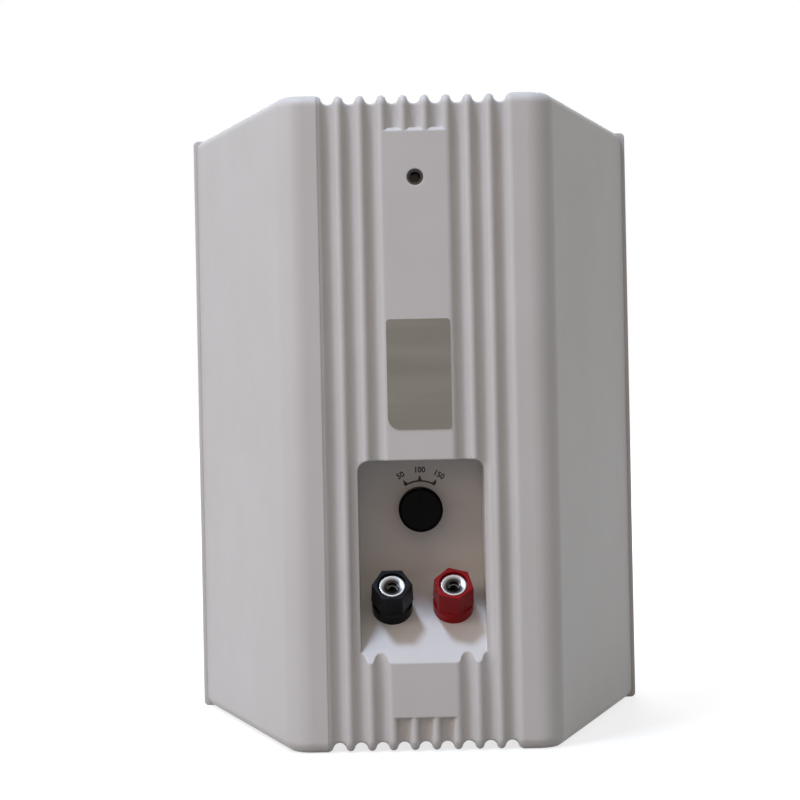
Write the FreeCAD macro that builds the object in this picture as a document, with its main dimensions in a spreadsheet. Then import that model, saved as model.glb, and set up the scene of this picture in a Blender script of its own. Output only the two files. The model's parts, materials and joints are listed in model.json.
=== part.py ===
"""Wall speaker: a two-way cabinet with a fluted rear shell, built as a parametric document.

Millimetres, +Z up. The grille faces -Y and the fluted back faces +Y. The origin is the middle of
the bottom of the whole box, so the speaker stands on z = 0.
"""
import FreeCAD, Part
import math
import os
import re

import Sketcher

DIMENSIONS = {
    # Rear shell
    "cab_height": 280.0,
    "cab_front_width": 210.4,
    "cab_back_width": 114.0,
    "cab_depth": 150.0,
    "cab_wall": 3.0,
    "cab_back_radius": 12.0,
    "cab_edge_radius": 4.6,
    # Flutes and the plain strip between them
    "flute_count": 9,
    "flute_pitch": 9.2,
    "flute_depth": 3.6,
    "flute_crest_radius": 1.9,
    "flute_drop": 0.25,
    "strip_flutes": 3,
    "strip_notch": 14.5,
    "strip_bevel": 1.5,
    # Terminal pocket in the back
    "pocket_width": 54.0,
    "pocket_top": 124.0,
    "pocket_bottom": 37.5,
    "pocket_depth": 32.0,
    "pocket_rise": 36.5,
    "pocket_radius": 5.0,
    # Front frame, baffle panel and grille
    "gasket_thick": 0.8,
    "gasket_inset": 0.6,
    "frame_depth": 21.2,
    "frame_overhang": 1.8,
    "frame_radius": 2.2,
    "frame_edge_radius": 2.0,
    "frame_rim": 8.0,
    "grille_ledge": 2.0,
    "grille_recess": 1.0,
    "grille_thick": 2.5,
    "grille_gap": 0.3,
    "slot_count": 39,
    "slot_rows": 3,
    "slot_width": 2.7,
    "slot_bar": 1.9,
    "slot_tie": 5.0,
    "slot_margin": 6.0,
    "tray_depth": 19.0,
    "panel_thick": 5.0,
    "spigot_gap": 0.6,
    # Fasteners and their bosses
    "screw_radius": 1.75,
    "screw_head_radius": 3.0,
    "screw_head_height": 2.0,
    "screw_gap": 0.05,
    "hole_gap": 0.25,
    "baffle_screw_inset": 8.0,
    "baffle_screw_length": 18.0,
    "boss_radius": 4.5,
    "boss_length": 40.0,
    "boss_rib": 2.5,
    # Wall bracket insert and rating label
    "insert_drop": 35.7,
    "insert_length": 12.0,
    "insert_radius": 4.2,
    "insert_thread_radius": 2.5,
    "insert_mouth_radius": 3.5,
    "insert_recess": 0.8,
    "insert_boss_radius": 8.0,
    "insert_boss_length": 19.0,
    "label_width": 27.2,
    "label_height": 47.0,
    "label_clearance": 13.0,
    "label_thick": 0.2,
    "label_radius": 1.5,
    "label_cut_radius": 5.5,
    # Woofer
    "driver_margin": 7.0,
    "driver_gap": 6.0,
    "woofer_flange": 2.0,
    "woofer_screw_inset": 3.2,
    "woofer_screw_count": 4,
    "woofer_screw_length": 9.0,
    "basket_flange_width": 11.0,
    "basket_depth": 36.0,
    "basket_sheet": 1.6,
    "basket_ledge": 29.0,
    "basket_ledge_radius": 41.0,
    "basket_ledge_width": 8.0,
    "basket_web": 3.0,
    "basket_windows": 6,
    "basket_window_width": 36.0,
    "surround_sheet": 0.8,
    "surround_roll": 4.4,
    "surround_lip": 5.0,
    "surround_lean": 1.4,
    "surround_span": 8.0,
    "cone_flange": 3.0,
    "cone_sheet": 1.0,
    "cone_depth": 23.6,
    "trim_thick": 3.0,
    "trim_width": 4.0,
    "dust_cap_radius": 20.0,
    "dust_cap_height": 6.5,
    "dust_cap_crown": 11.0,
    "dust_cap_sheet": 0.6,
    "pole_radius": 12.5,
    "former_gap": 0.4,
    "former_sheet": 0.35,
    "former_tail": 2.0,
    "winding_thick": 0.5,
    "winding_length": 12.0,
    "plate_gap": 0.5,
    "plate_radius": 42.0,
    "plate_thick": 6.0,
    "magnet_radius": 46.0,
    "magnet_bore": 20.0,
    "magnet_thick": 15.0,
    "spider_sheet": 0.6,
    "spider_wave": 2.0,
    # Tweeter
    "tweeter_radius": 38.0,
    "tweeter_face": 4.0,
    "tweeter_boss_radius": 29.0,
    "tweeter_boss": 2.5,
    "tweeter_mouth": 26.0,
    "tweeter_throat": 14.5,
    "tweeter_screw_circle": 33.5,
    "tweeter_screw_count": 4,
    "tweeter_magnet_radius": 27.0,
    "tweeter_magnet_bore": 15.0,
    "tweeter_magnet_thick": 10.0,
    "tweeter_plate_radius": 25.0,
    "tweeter_plate_thick": 4.0,
    "tweeter_pole_radius": 11.8,
    "dome_radius": 12.5,
    "dome_height": 5.0,
    "dome_crown": 6.5,
    "dome_sheet": 0.5,
    "dome_rim": 7.0,
    # Crossover board
    "board_width": 76.0,
    "board_tall": 38.0,
    "board_thick": 1.6,
    "board_screw_inset": 5.0,
    "standoff_height": 7.0,
    "standoff_radius": 3.6,
    "small_screw_length": 7.0,
    "inductor_radius": 13.0,
    "inductor_bore": 5.0,
    "inductor_length": 16.0,
    "inductor_offset": 19.0,
    "capacitor_radius": 6.0,
    "capacitor_length": 24.0,
    "capacitor_offset": 7.6,
    "capacitor_spacing": 19.0,
    "resistor_length": 22.0,
    "resistor_section": 9.0,
    "resistor_offset": 25.0,
    # Line transformer
    "core_width": 42.0,
    "core_tall": 35.0,
    "core_stack": 18.0,
    "core_leg": 7.0,
    "coil_gap": 0.3,
    "strap_sheet": 1.2,
    "strap_foot": 11.0,
    # Power selector
    "knob_drop": 22.2,
    "knob_radius": 9.6,
    "knob_length": 14.0,
    "knob_lift": 0.5,
    "knob_skirt": 1.4,
    "knob_bevel": 1.2,
    "pointer_width": 1.4,
    "pointer_depth": 0.7,
    "pointer_start": 3.2,
    "shaft_radius": 3.0,
    "shaft_length": 18.0,
    "running_gap": 0.06,
    "seat_gap": 0.05,
    "bush_radius": 4.5,
    "bush_reach": 5.5,
    "bush_nut_flats": 12.0,
    "bush_nut_thick": 2.4,
    "bush_washer_radius": 7.4,
    "bush_washer_thick": 0.8,
    "switch_radius": 13.0,
    "switch_depth": 19.0,
    "lug_count": 6,
    "lug_length": 6.0,
    "lug_width": 2.4,
    "lug_thick": 0.8,
    "lug_circle": 9.5,
    # Binding posts
    "post_spacing": 26.4,
    "post_setback": 19.2,
    "post_radius": 3.0,
    "post_reach": 13.6,
    "post_tail": 14.0,
    "socket_radius": 2.0,
    "socket_depth": 19.0,
    "wire_hole_radius": 1.3,
    "wire_hole_reach": 7.2,
    "collar_radius": 8.75,
    "collar_thick": 5.8,
    "collar_bevel": 0.9,
    "collar_spigot_radius": 4.8,
    "clamp_radius": 6.2,
    "clamp_thick": 1.0,
    "clamp_gap": 0.05,
    "cap_flats": 15.8,
    "cap_length": 11.1,
    "cap_lift": 0.3,
    "cap_taper": 2.0,
    "cap_moat_width": 0.8,
    "cap_moat_depth": 1.6,
    "black_cap_angle": 0.0,
    "red_cap_angle": 43.6,
    "cap_cup_gap": 0.3,
    "sleeve_radius": 5.4,
    "sleeve_reach": 16.2,
    "sleeve_funnel": 0.6,
    "sleeve_throat": 2.3,
    "sleeve_shoulder": 0.3,
    "sleeve_rim": 0.7,
    "seat_washer_radius": 8.0,
    "seat_washer_thick": 2.0,
    "tag_radius": 5.2,
    "tag_thick": 0.8,
    "tag_length": 14.0,
    "tag_width": 4.0,
    "post_nut_flats": 10.0,
    "post_nut_thick": 4.5,
    # How far cutting shapes run past what they cut
    "overcut": 2.0,
}

DERIVED = {
    # Planes from back to front
    "y_back": "(cab_depth + gasket_thick + frame_depth) / 2",
    "y_strip": "y_back - label_thick",
    "y_inner": "y_back - flute_total - cab_wall",
    "y_pocket": "y_back - pocket_depth",
    "y_lip": "y_back - cab_depth",
    "y_frame": "y_lip - gasket_thick",
    "y_front": "0 - y_back",
    "y_panel": "y_front + tray_depth",
    "y_panel_back": "y_panel + panel_thick",
    "y_grille": "y_front + grille_recess",
    # Shell
    "taper": "(cab_front_width - cab_back_width) / 2 / cab_depth",
    "wall_across": "cab_wall * sqrt(1 + taper * taper)",
    "flute_total": "flute_drop + flute_depth",
    "flute_band": "flute_count * flute_pitch / 2 + cab_wall",
    "flute_reach": "(flute_pitch * flute_pitch / 4 + flute_depth * flute_depth) / (2 * flute_depth)",
    "flute_radius": "flute_reach - flute_crest_radius",
    "strip_half": "strip_flutes * flute_pitch / 2",
    "floor_angle": "atan(pocket_depth / pocket_rise)",
    # Front
    "frame_half": "cab_front_width / 2 + frame_overhang",
    "rebate_half": "frame_half - frame_rim",
    "tray_half": "rebate_half - grille_ledge",
    "tray_low": "frame_rim + grille_ledge",
    "spigot_half": "cab_front_width / 2 - (y_panel_back - y_lip) * taper - wall_across - spigot_gap",
    "spigot_low": "flute_total + cab_wall + spigot_gap",
    "baffle_screw_x": "tray_half - baffle_screw_inset",
    "baffle_screw_low": "tray_low + baffle_screw_inset",
    "baffle_screw_pitch": "(cab_height - 2 * baffle_screw_low) / 2",
    "slot_pitch": "slot_width + slot_bar",
    "slot_first": "0 - (slot_count - 1) * slot_pitch / 2",
    "slot_low": "tray_low + slot_margin",
    "slot_tall": "(cab_height - 2 * slot_low - (slot_rows - 1) * slot_tie) / slot_rows",
    "pilot_radius": "screw_radius + screw_gap",
    "hole_radius": "screw_radius + hole_gap",
    # Back wall, from the top down
    "insert_height": "cab_height - insert_drop",
    "core_room": "core_stack + 2 * core_window",
    "inner_gap": "(insert_height - insert_boss_radius - pocket_top - cab_wall - board_tall - core_room) / 3",
    "board_height": "insert_height - insert_boss_radius - inner_gap - board_tall / 2",
    "transformer_height": "pocket_top + cab_wall + inner_gap + core_room / 2",
    "label_bottom": "pocket_top + label_clearance",
    "knob_height": "pocket_top - knob_drop",
    # Woofer
    "driver_room": "cab_height - 2 * tray_low - 2 * driver_margin - driver_gap - 2 * tweeter_radius",
    "woofer_radius": "min(driver_room / 2; tray_half - driver_margin)",
    "woofer_height": "tray_low + driver_margin + woofer_radius",
    "woofer_screw_circle": "woofer_radius - woofer_screw_inset",
    "basket_throat": "woofer_radius - basket_flange_width",
    "cone_radius": "basket_throat - surround_span",
    "former_inner": "pole_radius + former_gap",
    "former_outer": "former_inner + former_sheet",
    "coil_outer": "former_outer + winding_thick",
    "plate_bore": "coil_outer + plate_gap",
    "surround_outer": "basket_throat - 0.5 * surround_sheet",
    "surround_inner": "cone_radius - 0.5 * surround_sheet",
    "surround_base": "0 - woofer_flange",
    "cone_front": "surround_base + surround_sheet",
    "cone_neck": "cone_front + cone_depth",
    "plate_back": "basket_depth + plate_thick",
    "magnet_back": "plate_back + magnet_thick",
    "winding_middle": "basket_depth + plate_thick / 2",
    "former_end": "winding_middle + winding_length / 2 + former_tail",
    "cone_slope": "cone_depth / (cone_radius - cone_flange - former_outer)",
    "dust_cap_seat": "cone_neck - (dust_cap_radius - former_outer) * cone_slope - seat_gap",
    "woofer_hole": "basket_throat + basket_sheet + hole_gap",
    "spider_front": "basket_ledge - spider_sheet",
    # Tweeter
    "tweeter_height": "cab_height - tray_low - driver_margin - tweeter_radius",
    "dome_back": "tweeter_boss + dome_sheet",
    "tweeter_plate_back": "dome_back + tweeter_plate_thick",
    "tweeter_magnet_back": "tweeter_plate_back + tweeter_magnet_thick",
    # Inside the back wall
    "board_screw_x": "board_width / 2 - board_screw_inset",
    "board_screw_z": "board_tall / 2 - board_screw_inset",
    "y_board": "y_inner - standoff_height - board_thick",
    "y_strap": "y_inner - standoff_height",
    "core_window": "core_leg",
    "core_centre": "core_width - 2 * core_leg - 2 * core_window",
    "core_window_tall": "core_tall - 2 * core_leg",
    "foot_x": "core_width / 2 + strap_sheet + strap_foot / 2",
    # Selector and binding posts, measured outward from their seats
    "switch_back": "0 - cab_wall - switch_depth",
    "knob_end": "knob_lift + knob_length",
    "knob_cup": "bush_reach + knob_lift",
    "shaft_start": "shaft_end - shaft_length",
    "shaft_end": "knob_end - 2 * knob_bevel",
    "clamp_low": "collar_thick + clamp_gap",
    "clamp_high": "clamp_low + clamp_thick",
    "sleeve_low": "clamp_high + clamp_gap",
    "cap_low": "collar_thick + cap_lift",
    "cap_high": "cap_low + cap_length",
    "seat_washer_low": "0 - cab_wall - seat_washer_thick",
    "tag_low": "seat_washer_low - tag_thick",
    "post_nut_low": "tag_low - post_nut_thick",
}

# Where round parts sit: x, y, z of the seat and the elevation of the axis that points out of it.
POST_Y = "y_back - post_setback"
POST_Z = "pocket_bottom + post_setback * pocket_rise / pocket_depth"
SEATS = {
    "woofer": ("0", "y_panel", "woofer_height", "0 deg"),
    "tweeter": ("0", "y_panel", "tweeter_height", "0 deg"),
    "selector": ("0", "y_pocket", "knob_height", "0 deg"),
    "black": ("post_spacing / 2", POST_Y, POST_Z, "floor_angle"),
    "red": ("0 - post_spacing / 2", POST_Y, POST_Z, "floor_angle"),
    "insert": ("0", "y_back", "insert_height", "0 deg"),
}

doc = FreeCAD.newDocument("wall_speaker")
sheet = doc.addObject("Spreadsheet::Sheet", "dims")
nodes = []


def fill_sheet():
    """Write every driving dimension into the spreadsheet, with its name beside it."""
    for row, (name, size) in enumerate(DIMENSIONS.items(), start=1):
        sheet.set(f"A{row}", name)
        sheet.set(f"B{row}", str(size))
        sheet.setAlias(f"B{row}", name)
    doc.recompute()


def formula(text):
    """Turn plain names into spreadsheet references, working out derived names on the way."""
    def reference(match):
        word = match.group()
        if word in DIMENSIONS:
            return "dims." + word
        if word in DERIVED:
            return "(" + formula(DERIVED[word]) + ")"
        return word
    return re.sub(r"[a-z_][a-z_0-9]*", reference, str(text))


def value(text):
    """The present size of a formula, for picking edges and for first guesses."""
    result = sheet.evalExpression(formula(text))
    return float(getattr(result, "Value", result))


def bind(obj, **formulas):
    """Bind properties of an object to formulas of the sheet."""
    for name, text in formulas.items():
        obj.setExpression(name, formula(text))
    return obj


def place(obj, x="0", y="0", z="0", elevation=None):
    """Place an object; with an elevation its own Z axis points to +Y, raised by that angle."""
    turn = "0" if elevation is None else f"({elevation}) - 90 deg"
    text = f"placement(vector({x}; {y}; {z}); rotation(vector(1; 0; 0); {turn}))"
    obj.setExpression("Placement", formula(text))
    return obj


def on_seat(obj, seat, along="0"):
    """Place an object on a named seat, moved along the axis that points out of it."""
    x, y, z, elevation = SEATS[seat]
    out = f"{y} + ({along}) * cos({elevation})"
    up = f"{z} + ({along}) * sin({elevation})"
    return place(obj, x, out, up, elevation)


def node(obj, label):
    """Name a finished sub-part."""
    obj.Label = label
    nodes.append(obj)
    return obj


def new_body(name):
    return doc.addObject("PartDesign::Body", name + "_body")


def origin(body, role):
    """One of a body's own origin planes or axes."""
    return next(f for f in body.Origin.OriginFeatures if f.Role == role)


def sketch(body, role, name, *loops):
    """A sketch of closed loops of straight lines, each corner held by its two formulas."""
    drawn = body.newObject("Sketcher::SketchObject", name)
    drawn.AttachmentSupport = [(origin(body, role), "")]
    drawn.MapMode = "FlatFace"
    for points in loops:
        add_loop(drawn, points)
    return drawn


def add_loop(drawn, points):
    first = drawn.GeometryCount
    count = len(points)
    spots = [FreeCAD.Vector(value(x), value(y), 0) for x, y in points]
    for i in range(count):
        drawn.addGeometry(Part.LineSegment(spots[i], spots[(i + 1) % count]), False)
    for i in range(count):
        line = first + i
        drawn.addConstraint(Sketcher.Constraint("Coincident", line, 2, first + (i + 1) % count, 1))
        hold(drawn, line, 1, *points[i])


def hold(drawn, geometry, corner, x, y=None):
    """Hold one point of a sketch at one or two formulas, measured from the sketch's origin."""
    for kind, text in (("DistanceX", x), ("DistanceY", y)):
        if text is None:
            continue
        index = drawn.addConstraint(
            Sketcher.Constraint(kind, -1, 1, geometry, corner, value(text))
        )
        drawn.setExpression(f"Constraints[{index}]", formula(text))


def circle_sketch(body, role, name, x, y, radius):
    drawn = sketch(body, role, name)
    round_line = Part.Circle(FreeCAD.Vector(value(x), value(y), 0), FreeCAD.Vector(0, 0, 1), value(radius))
    drawn.addGeometry(round_line, False)
    hold(drawn, 0, 3, x, y)
    index = drawn.addConstraint(Sketcher.Constraint("Radius", 0, value(radius)))
    drawn.setExpression(f"Constraints[{index}]", formula(radius))
    return drawn


def feature(body, kind, name, profile, **formulas):
    made = body.newObject("PartDesign::" + kind, name)
    made.Profile = profile
    return bind(made, **formulas)


def rectangle(half, low, high):
    return [(f"0 - ({half})", low), (half, low), (half, high), (f"0 - ({half})", high)]


def round_edges(body, name, base, radius, chosen):
    """Fillet the edges of a feature that a rule picks out."""
    doc.recompute()
    fillet = body.newObject("PartDesign::Fillet", name)
    picked = [f"Edge{i}" for i, edge in enumerate(base.Shape.Edges, start=1) if chosen(edge)]
    fillet.Base = (base, picked)
    return bind(fillet, Radius=radius)


def runs_along(edge, axis):
    """True for a straight edge along one of the axes 0, 1 or 2."""
    if edge.Curve.TypeId != "Part::GeomLine":
        return False
    return abs(edge.tangentAt(edge.FirstParameter)[axis]) > 0.999


def near(a, b):
    return abs(a - b) < 0.01


def turned(label, seat, points):
    """A body turned about its seat's axis from a profile of (radius, distance out) points."""
    body = new_body(label)
    profile = sketch(body, "XZ_Plane", label + "_profile", points)
    turn = feature(body, "Revolution", label + "_turn", profile)
    turn.ReferenceAxis = (profile, ["V_Axis"])
    turn.Angle = 360
    on_seat(body, seat)
    return body


def ring(label, seat, inner, outer, low, high):
    points = [(inner, low), (outer, low), (outer, high), (inner, high)]
    return node(turned(label, seat, points), label)


def ring_pattern(body, name, original, count):
    """Repeat a feature evenly about the body's own Z axis."""
    doc.recompute()
    pattern = body.newObject("PartDesign::PolarPattern", name)
    pattern.Originals = [original]
    pattern.Axis = (origin(body, "Z_Axis"), [""])
    pattern.Angle = 360
    bind(pattern, Occurrences=count)
    body.Tip = pattern
    return pattern


def box(name, x_half, y_low, y_high, z_low, z_high, x_middle="0"):
    made = doc.addObject("Part::Box", name)
    bind(made, Length=f"2 * ({x_half})", Width=f"({y_high}) - ({y_low})", Height=f"({z_high}) - ({z_low})")
    return place(made, f"{x_middle} - ({x_half})", y_low, z_low)


def rod(name, radius, x, y_low, y_high, z):
    """A cylinder along +Y."""
    made = doc.addObject("Part::Cylinder", name)
    bind(made, Radius=radius, Height=f"({y_high}) - ({y_low})")
    return place(made, x, y_low, z, "0 deg")


def seat_rod(name, seat, radius, low, high):
    made = doc.addObject("Part::Cylinder", name)
    bind(made, Radius=radius, Height=f"({high}) - ({low})")
    return on_seat(made, seat, low)


def seat_hexagon(name, seat, flats, low, high):
    made = doc.addObject("Part::Prism", name)
    made.Polygon = 6
    bind(made, Circumradius=f"({flats}) / sqrt(3)", Height=f"({high}) - ({low})")
    return on_seat(made, seat, low)


def cut(name, base, tool):
    made = doc.addObject("Part::Cut", name)
    made.Base = base
    made.Tool = tool
    return made


def fuse(name, shapes):
    made = doc.addObject("Part::MultiFuse", name)
    made.Shapes = shapes
    return made


def group(label, members):
    made = doc.addObject("Part::Compound", label + "_group")
    made.Links = members
    return node(made, label)


def screw(name, x, y, z, length, outward):
    """One screw along Y: outward is +1 where its head faces +Y and -1 where it faces -Y."""
    body = new_body(name)
    points = [
        ("0", f"0 - ({length})"),
        ("screw_radius", f"0 - ({length})"),
        ("screw_radius", "0"),
        ("screw_head_radius", "0"),
        ("screw_head_radius", "screw_head_height"),
        ("0", "screw_head_height"),
    ]
    profile = sketch(body, "XZ_Plane", name + "_profile", points)
    turn = feature(body, "Revolution", name + "_turn", profile)
    turn.ReferenceAxis = (profile, ["V_Axis"])
    turn.Angle = 360
    return place(body, x, y, z, "0 deg" if outward > 0 else "180 deg")


def baffle_screw_spots():
    for side in ("baffle_screw_x", "0 - baffle_screw_x"):
        for row in range(3):
            yield side, f"baffle_screw_low + {row} * baffle_screw_pitch"


def board_screw_spots():
    for side in ("board_screw_x", "0 - board_screw_x"):
        for level in ("board_height - board_screw_z", "board_height + board_screw_z"):
            yield side, level


def strap_screw_spots():
    for side in ("foot_x", "0 - foot_x"):
        yield side, "transformer_height"


def circle_spots(height, circle, count):
    """Screws evenly round a driver, the first one half a step from straight up."""
    for step in range(int(value(count))):
        angle = f"({step} + 0.5) * 360 / {count}"
        yield f"{circle} * sin({angle})", f"{height} + {circle} * cos({angle})"


def screws(label, spots, y, length, outward):
    members = [
        screw(f"{label}_{number}", x, y, z, length, outward)
        for number, (x, z) in enumerate(spots, start=1)
    ]
    return group(label, members)


def holes(name, spots, radius, y_low, y_high):
    return [
        rod(f"{name}_{number}", radius, x, y_low, y_high, z)
        for number, (x, z) in enumerate(spots, start=1)
    ]


def shell_form():
    """The outside of the rear shell: a tapered block with wrap-round flutes and a plain strip."""
    body = new_body("shell_form")
    plan = sketch(body, "XY_Plane", "shell_plan", [
        ("0 - cab_front_width / 2", "y_lip"),
        ("cab_front_width / 2", "y_lip"),
        ("cab_back_width / 2", "y_back"),
        ("0 - cab_back_width / 2", "y_back"),
    ])
    block = feature(body, "Pad", "shell_block", plan, Length="cab_height")
    y_back = value("y_back")
    y_lip = value("y_lip")
    corners = round_edges(
        body, "shell_corners", block, "cab_back_radius",
        lambda edge: runs_along(edge, 2) and near(edge.CenterOfMass.y, y_back),
    )
    round_edges(
        body, "shell_edges", corners, "cab_edge_radius",
        lambda edge: not runs_along(edge, 2) and not near(edge.BoundBox.YMax, y_lip),
    )
    flutes(body)
    strip(body)
    return body


def flutes(body):
    """Half of one flute, over the top and down the back; then mirrored below and repeated across."""
    bend = "y_back - cab_edge_radius"
    above = "cab_height - cab_edge_radius"
    top_profile = sketch(body, "XZ_Plane", "flute_top_profile")
    top_profile.setExpression("AttachmentOffset.Base.z", formula(f"0 - ({bend})"))
    add_flute_profile(top_profile, "cab_height")
    add_bend_axis(top_profile, above)
    back_profile = sketch(body, "XY_Plane", "flute_back_profile")
    back_profile.setExpression("AttachmentOffset.Base.z", formula(above))
    add_flute_profile(back_profile, "y_back")
    doc.recompute()
    over_top = feature(body, "Pocket", "flute_top", top_profile, Length=f"{bend} - y_lip + overcut")
    over_top.Reversed = True
    round_bend = feature(body, "Groove", "flute_bend", top_profile)
    round_bend.ReferenceAxis = (top_profile, ["Axis0"])
    round_bend.Angle = 90
    down_back = feature(body, "Pocket", "flute_back", back_profile, Length=f"{above} - cab_height / 2")
    middle = body.newObject("PartDesign::Plane", "shell_middle")
    middle.AttachmentSupport = [(origin(body, "XY_Plane"), "")]
    middle.MapMode = "FlatFace"
    middle.setExpression("AttachmentOffset.Base.z", formula("cab_height / 2"))
    doc.recompute()
    both_ways = body.newObject("PartDesign::MultiTransform", "flute_row")
    below = body.newObject("PartDesign::Mirrored", "flute_below")
    below.MirrorPlane = (middle, [""])
    across = body.newObject("PartDesign::LinearPattern", "flute_across")
    across.Direction = (origin(body, "X_Axis"), [""])
    across.Mode = "Spacing"
    bind(across, Offset="flute_pitch", Occurrences="flute_count")
    both_ways.Originals = [over_top, round_bend, down_back]
    both_ways.Transformations = [below, across]
    body.Tip = both_ways


def line(x_from, y_from, x_to, y_to):
    return Part.LineSegment(FreeCAD.Vector(x_from, y_from, 0), FreeCAD.Vector(x_to, y_to, 0))


def arc(x, y, radius, first, last):
    """Part of a circle, counter-clockwise between two angles in radians."""
    circle = Part.Circle(FreeCAD.Vector(x, y, 0), FreeCAD.Vector(0, 0, 1), radius)
    return Part.ArcOfCircle(circle, first, last)


def add_bend_axis(profile, height):
    """The axis that a flute turns about at the shell's edge, drawn from right to left."""
    half = "flute_count * flute_pitch / 2"
    axis = profile.addGeometry(line(value(half), value(height), -value(half), value(height)), True)
    hold(profile, axis, 1, half, height)
    hold(profile, axis, 2, f"0 - {half}", height)


def add_flute_profile(profile, face):
    """The first flute: a round groove between two half crests, open above the face it is cut in."""
    middle = "0 - (flute_count - 1) * flute_pitch / 2"
    left = f"{middle} - flute_pitch / 2"
    right = f"{middle} + flute_pitch / 2"
    above = f"{face} + overcut"
    crest = f"{face} - flute_drop"
    crest_centre = f"{crest} - flute_crest_radius"
    groove_centre = f"{crest} - flute_depth + flute_radius"
    x_left, x_middle, x_right = value(left), value(middle), value(right)
    z_above, z_crest = value(above), value(crest)
    z_small, z_large = value(crest_centre), value(groove_centre)
    small, large = value("flute_crest_radius"), value("flute_radius")
    lean = math.atan2(z_large - z_small, value("flute_pitch / 2"))
    profile.addGeometry(line(x_left, z_above, x_left, z_crest), False)
    profile.addGeometry(arc(x_left, z_small, small, lean, math.pi / 2), False)
    profile.addGeometry(arc(x_middle, z_large, large, math.pi + lean, 2 * math.pi - lean), False)
    profile.addGeometry(arc(x_right, z_small, small, math.pi / 2, math.pi - lean), False)
    profile.addGeometry(line(x_right, z_crest, x_right, z_above), False)
    profile.addGeometry(line(x_right, z_above, x_left, z_above), False)
    hold(profile, 0, 1, left, above)
    hold(profile, 0, 2, left, crest)
    hold(profile, 1, 3, left, crest_centre)
    hold(profile, 2, 3, middle, groove_centre)
    hold(profile, 3, 3, right)
    hold(profile, 4, 1, right, crest)
    hold(profile, 4, 2, right, above)
    for joint in ((0, 2, 1, 2), (3, 1, 4, 1), (4, 2, 5, 1), (5, 2, 0, 1)):
        profile.addConstraint(Sketcher.Constraint("Coincident", *joint))
    for joint in ((1, 1, 2, 1), (2, 2, 3, 2)):
        profile.addConstraint(Sketcher.Constraint("Tangent", *joint))


def strip(body):
    """The plain strip that fills the middle flutes, bevelled above, with a notch left at each end."""
    root = "y_back - flute_total - cab_wall / 2"
    end = "cab_height - strip_notch"
    section = sketch(body, "YZ_Plane", "strip_section", [
        (root, "strip_notch"),
        ("y_strip", "strip_notch"),
        ("y_strip", f"{end} - strip_bevel"),
        ("y_strip - strip_bevel", end),
        (root, end),
    ])
    bar = feature(body, "Pad", "strip_bar", section, Length="2 * strip_half")
    bar.Midplane = True
    body.Tip = bar


def pocket_form():
    """The air of the terminal pocket: level roof, upright wall, and a floor that slopes out."""
    body = new_body("pocket_form")
    section = sketch(body, "YZ_Plane", "pocket_section", [
        ("y_back + overcut", "pocket_top"),
        ("y_pocket", "pocket_top"),
        ("y_pocket", "pocket_bottom + pocket_rise"),
        ("y_back + overcut", "pocket_bottom - overcut * pocket_rise / pocket_depth"),
    ])
    block = feature(body, "Pad", "pocket_block", section, Length="pocket_width")
    block.Midplane = True
    top = value("pocket_top")
    round_edges(body, "pocket_corners", block, "pocket_radius",
                lambda edge: runs_along(edge, 1) and near(edge.CenterOfMass.z, top))
    return body


def cavity_form():
    """The air inside the shell, before bosses and the pocket's own walls are left standing in it."""
    body = new_body("cavity_form")
    front_half = "cab_front_width / 2 + overcut * taper - wall_across"
    back_half = "cab_front_width / 2 - (y_inner - y_lip) * taper - wall_across"
    plan = sketch(body, "XY_Plane", "cavity_plan", [
        (f"0 - ({front_half})", "y_lip - overcut"),
        (front_half, "y_lip - overcut"),
        (back_half, "y_inner"),
        (f"0 - ({back_half})", "y_inner"),
    ])
    feature(body, "Pad", "cavity_block", plan, Length="cab_height - 2 * cab_wall")
    return place(body, z="cab_wall")


def shell_islands(pocket):
    """What stands inside the shell: pocket walls, thicker walls behind the flutes, bosses."""
    backing = doc.addObject("Part::Offset", "pocket_backing")
    backing.Source = pocket
    backing.Join = 2
    bind(backing, Value="cab_wall")
    islands = [
        backing,
        box("band_low", "flute_band", "y_lip - 2 * overcut", "y_back", "0", "flute_total + cab_wall"),
        box("band_high", "flute_band", "y_lip - 2 * overcut", "y_back",
            "cab_height - flute_total - cab_wall", "cab_height"),
        rod("insert_boss", "insert_boss_radius", "0", "y_back - insert_boss_length", "y_back",
            "insert_height"),
    ]
    reach = "(cab_front_width / 2 - baffle_screw_x) / 2"
    for number, (x, z) in enumerate(baffle_screw_spots(), start=1):
        side = "1" if number <= 3 else "-1"
        end = "y_panel_back + boss_length"
        islands.append(rod(f"baffle_boss_{number}", "boss_radius", x, "y_panel_back", end, z))
        islands.append(box(f"baffle_rib_{number}", reach, "y_panel_back", end,
                           f"{z} - boss_rib / 2", f"{z} + boss_rib / 2", f"{x} + ({side}) * {reach}"))
    spots = list(board_screw_spots()) + list(strap_screw_spots())
    for number, (x, z) in enumerate(spots, start=1):
        islands.append(rod(f"standoff_{number}", "standoff_radius", x,
                           "y_inner - standoff_height", "y_back - flute_total", z))
    return fuse("shell_islands", islands)


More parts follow.
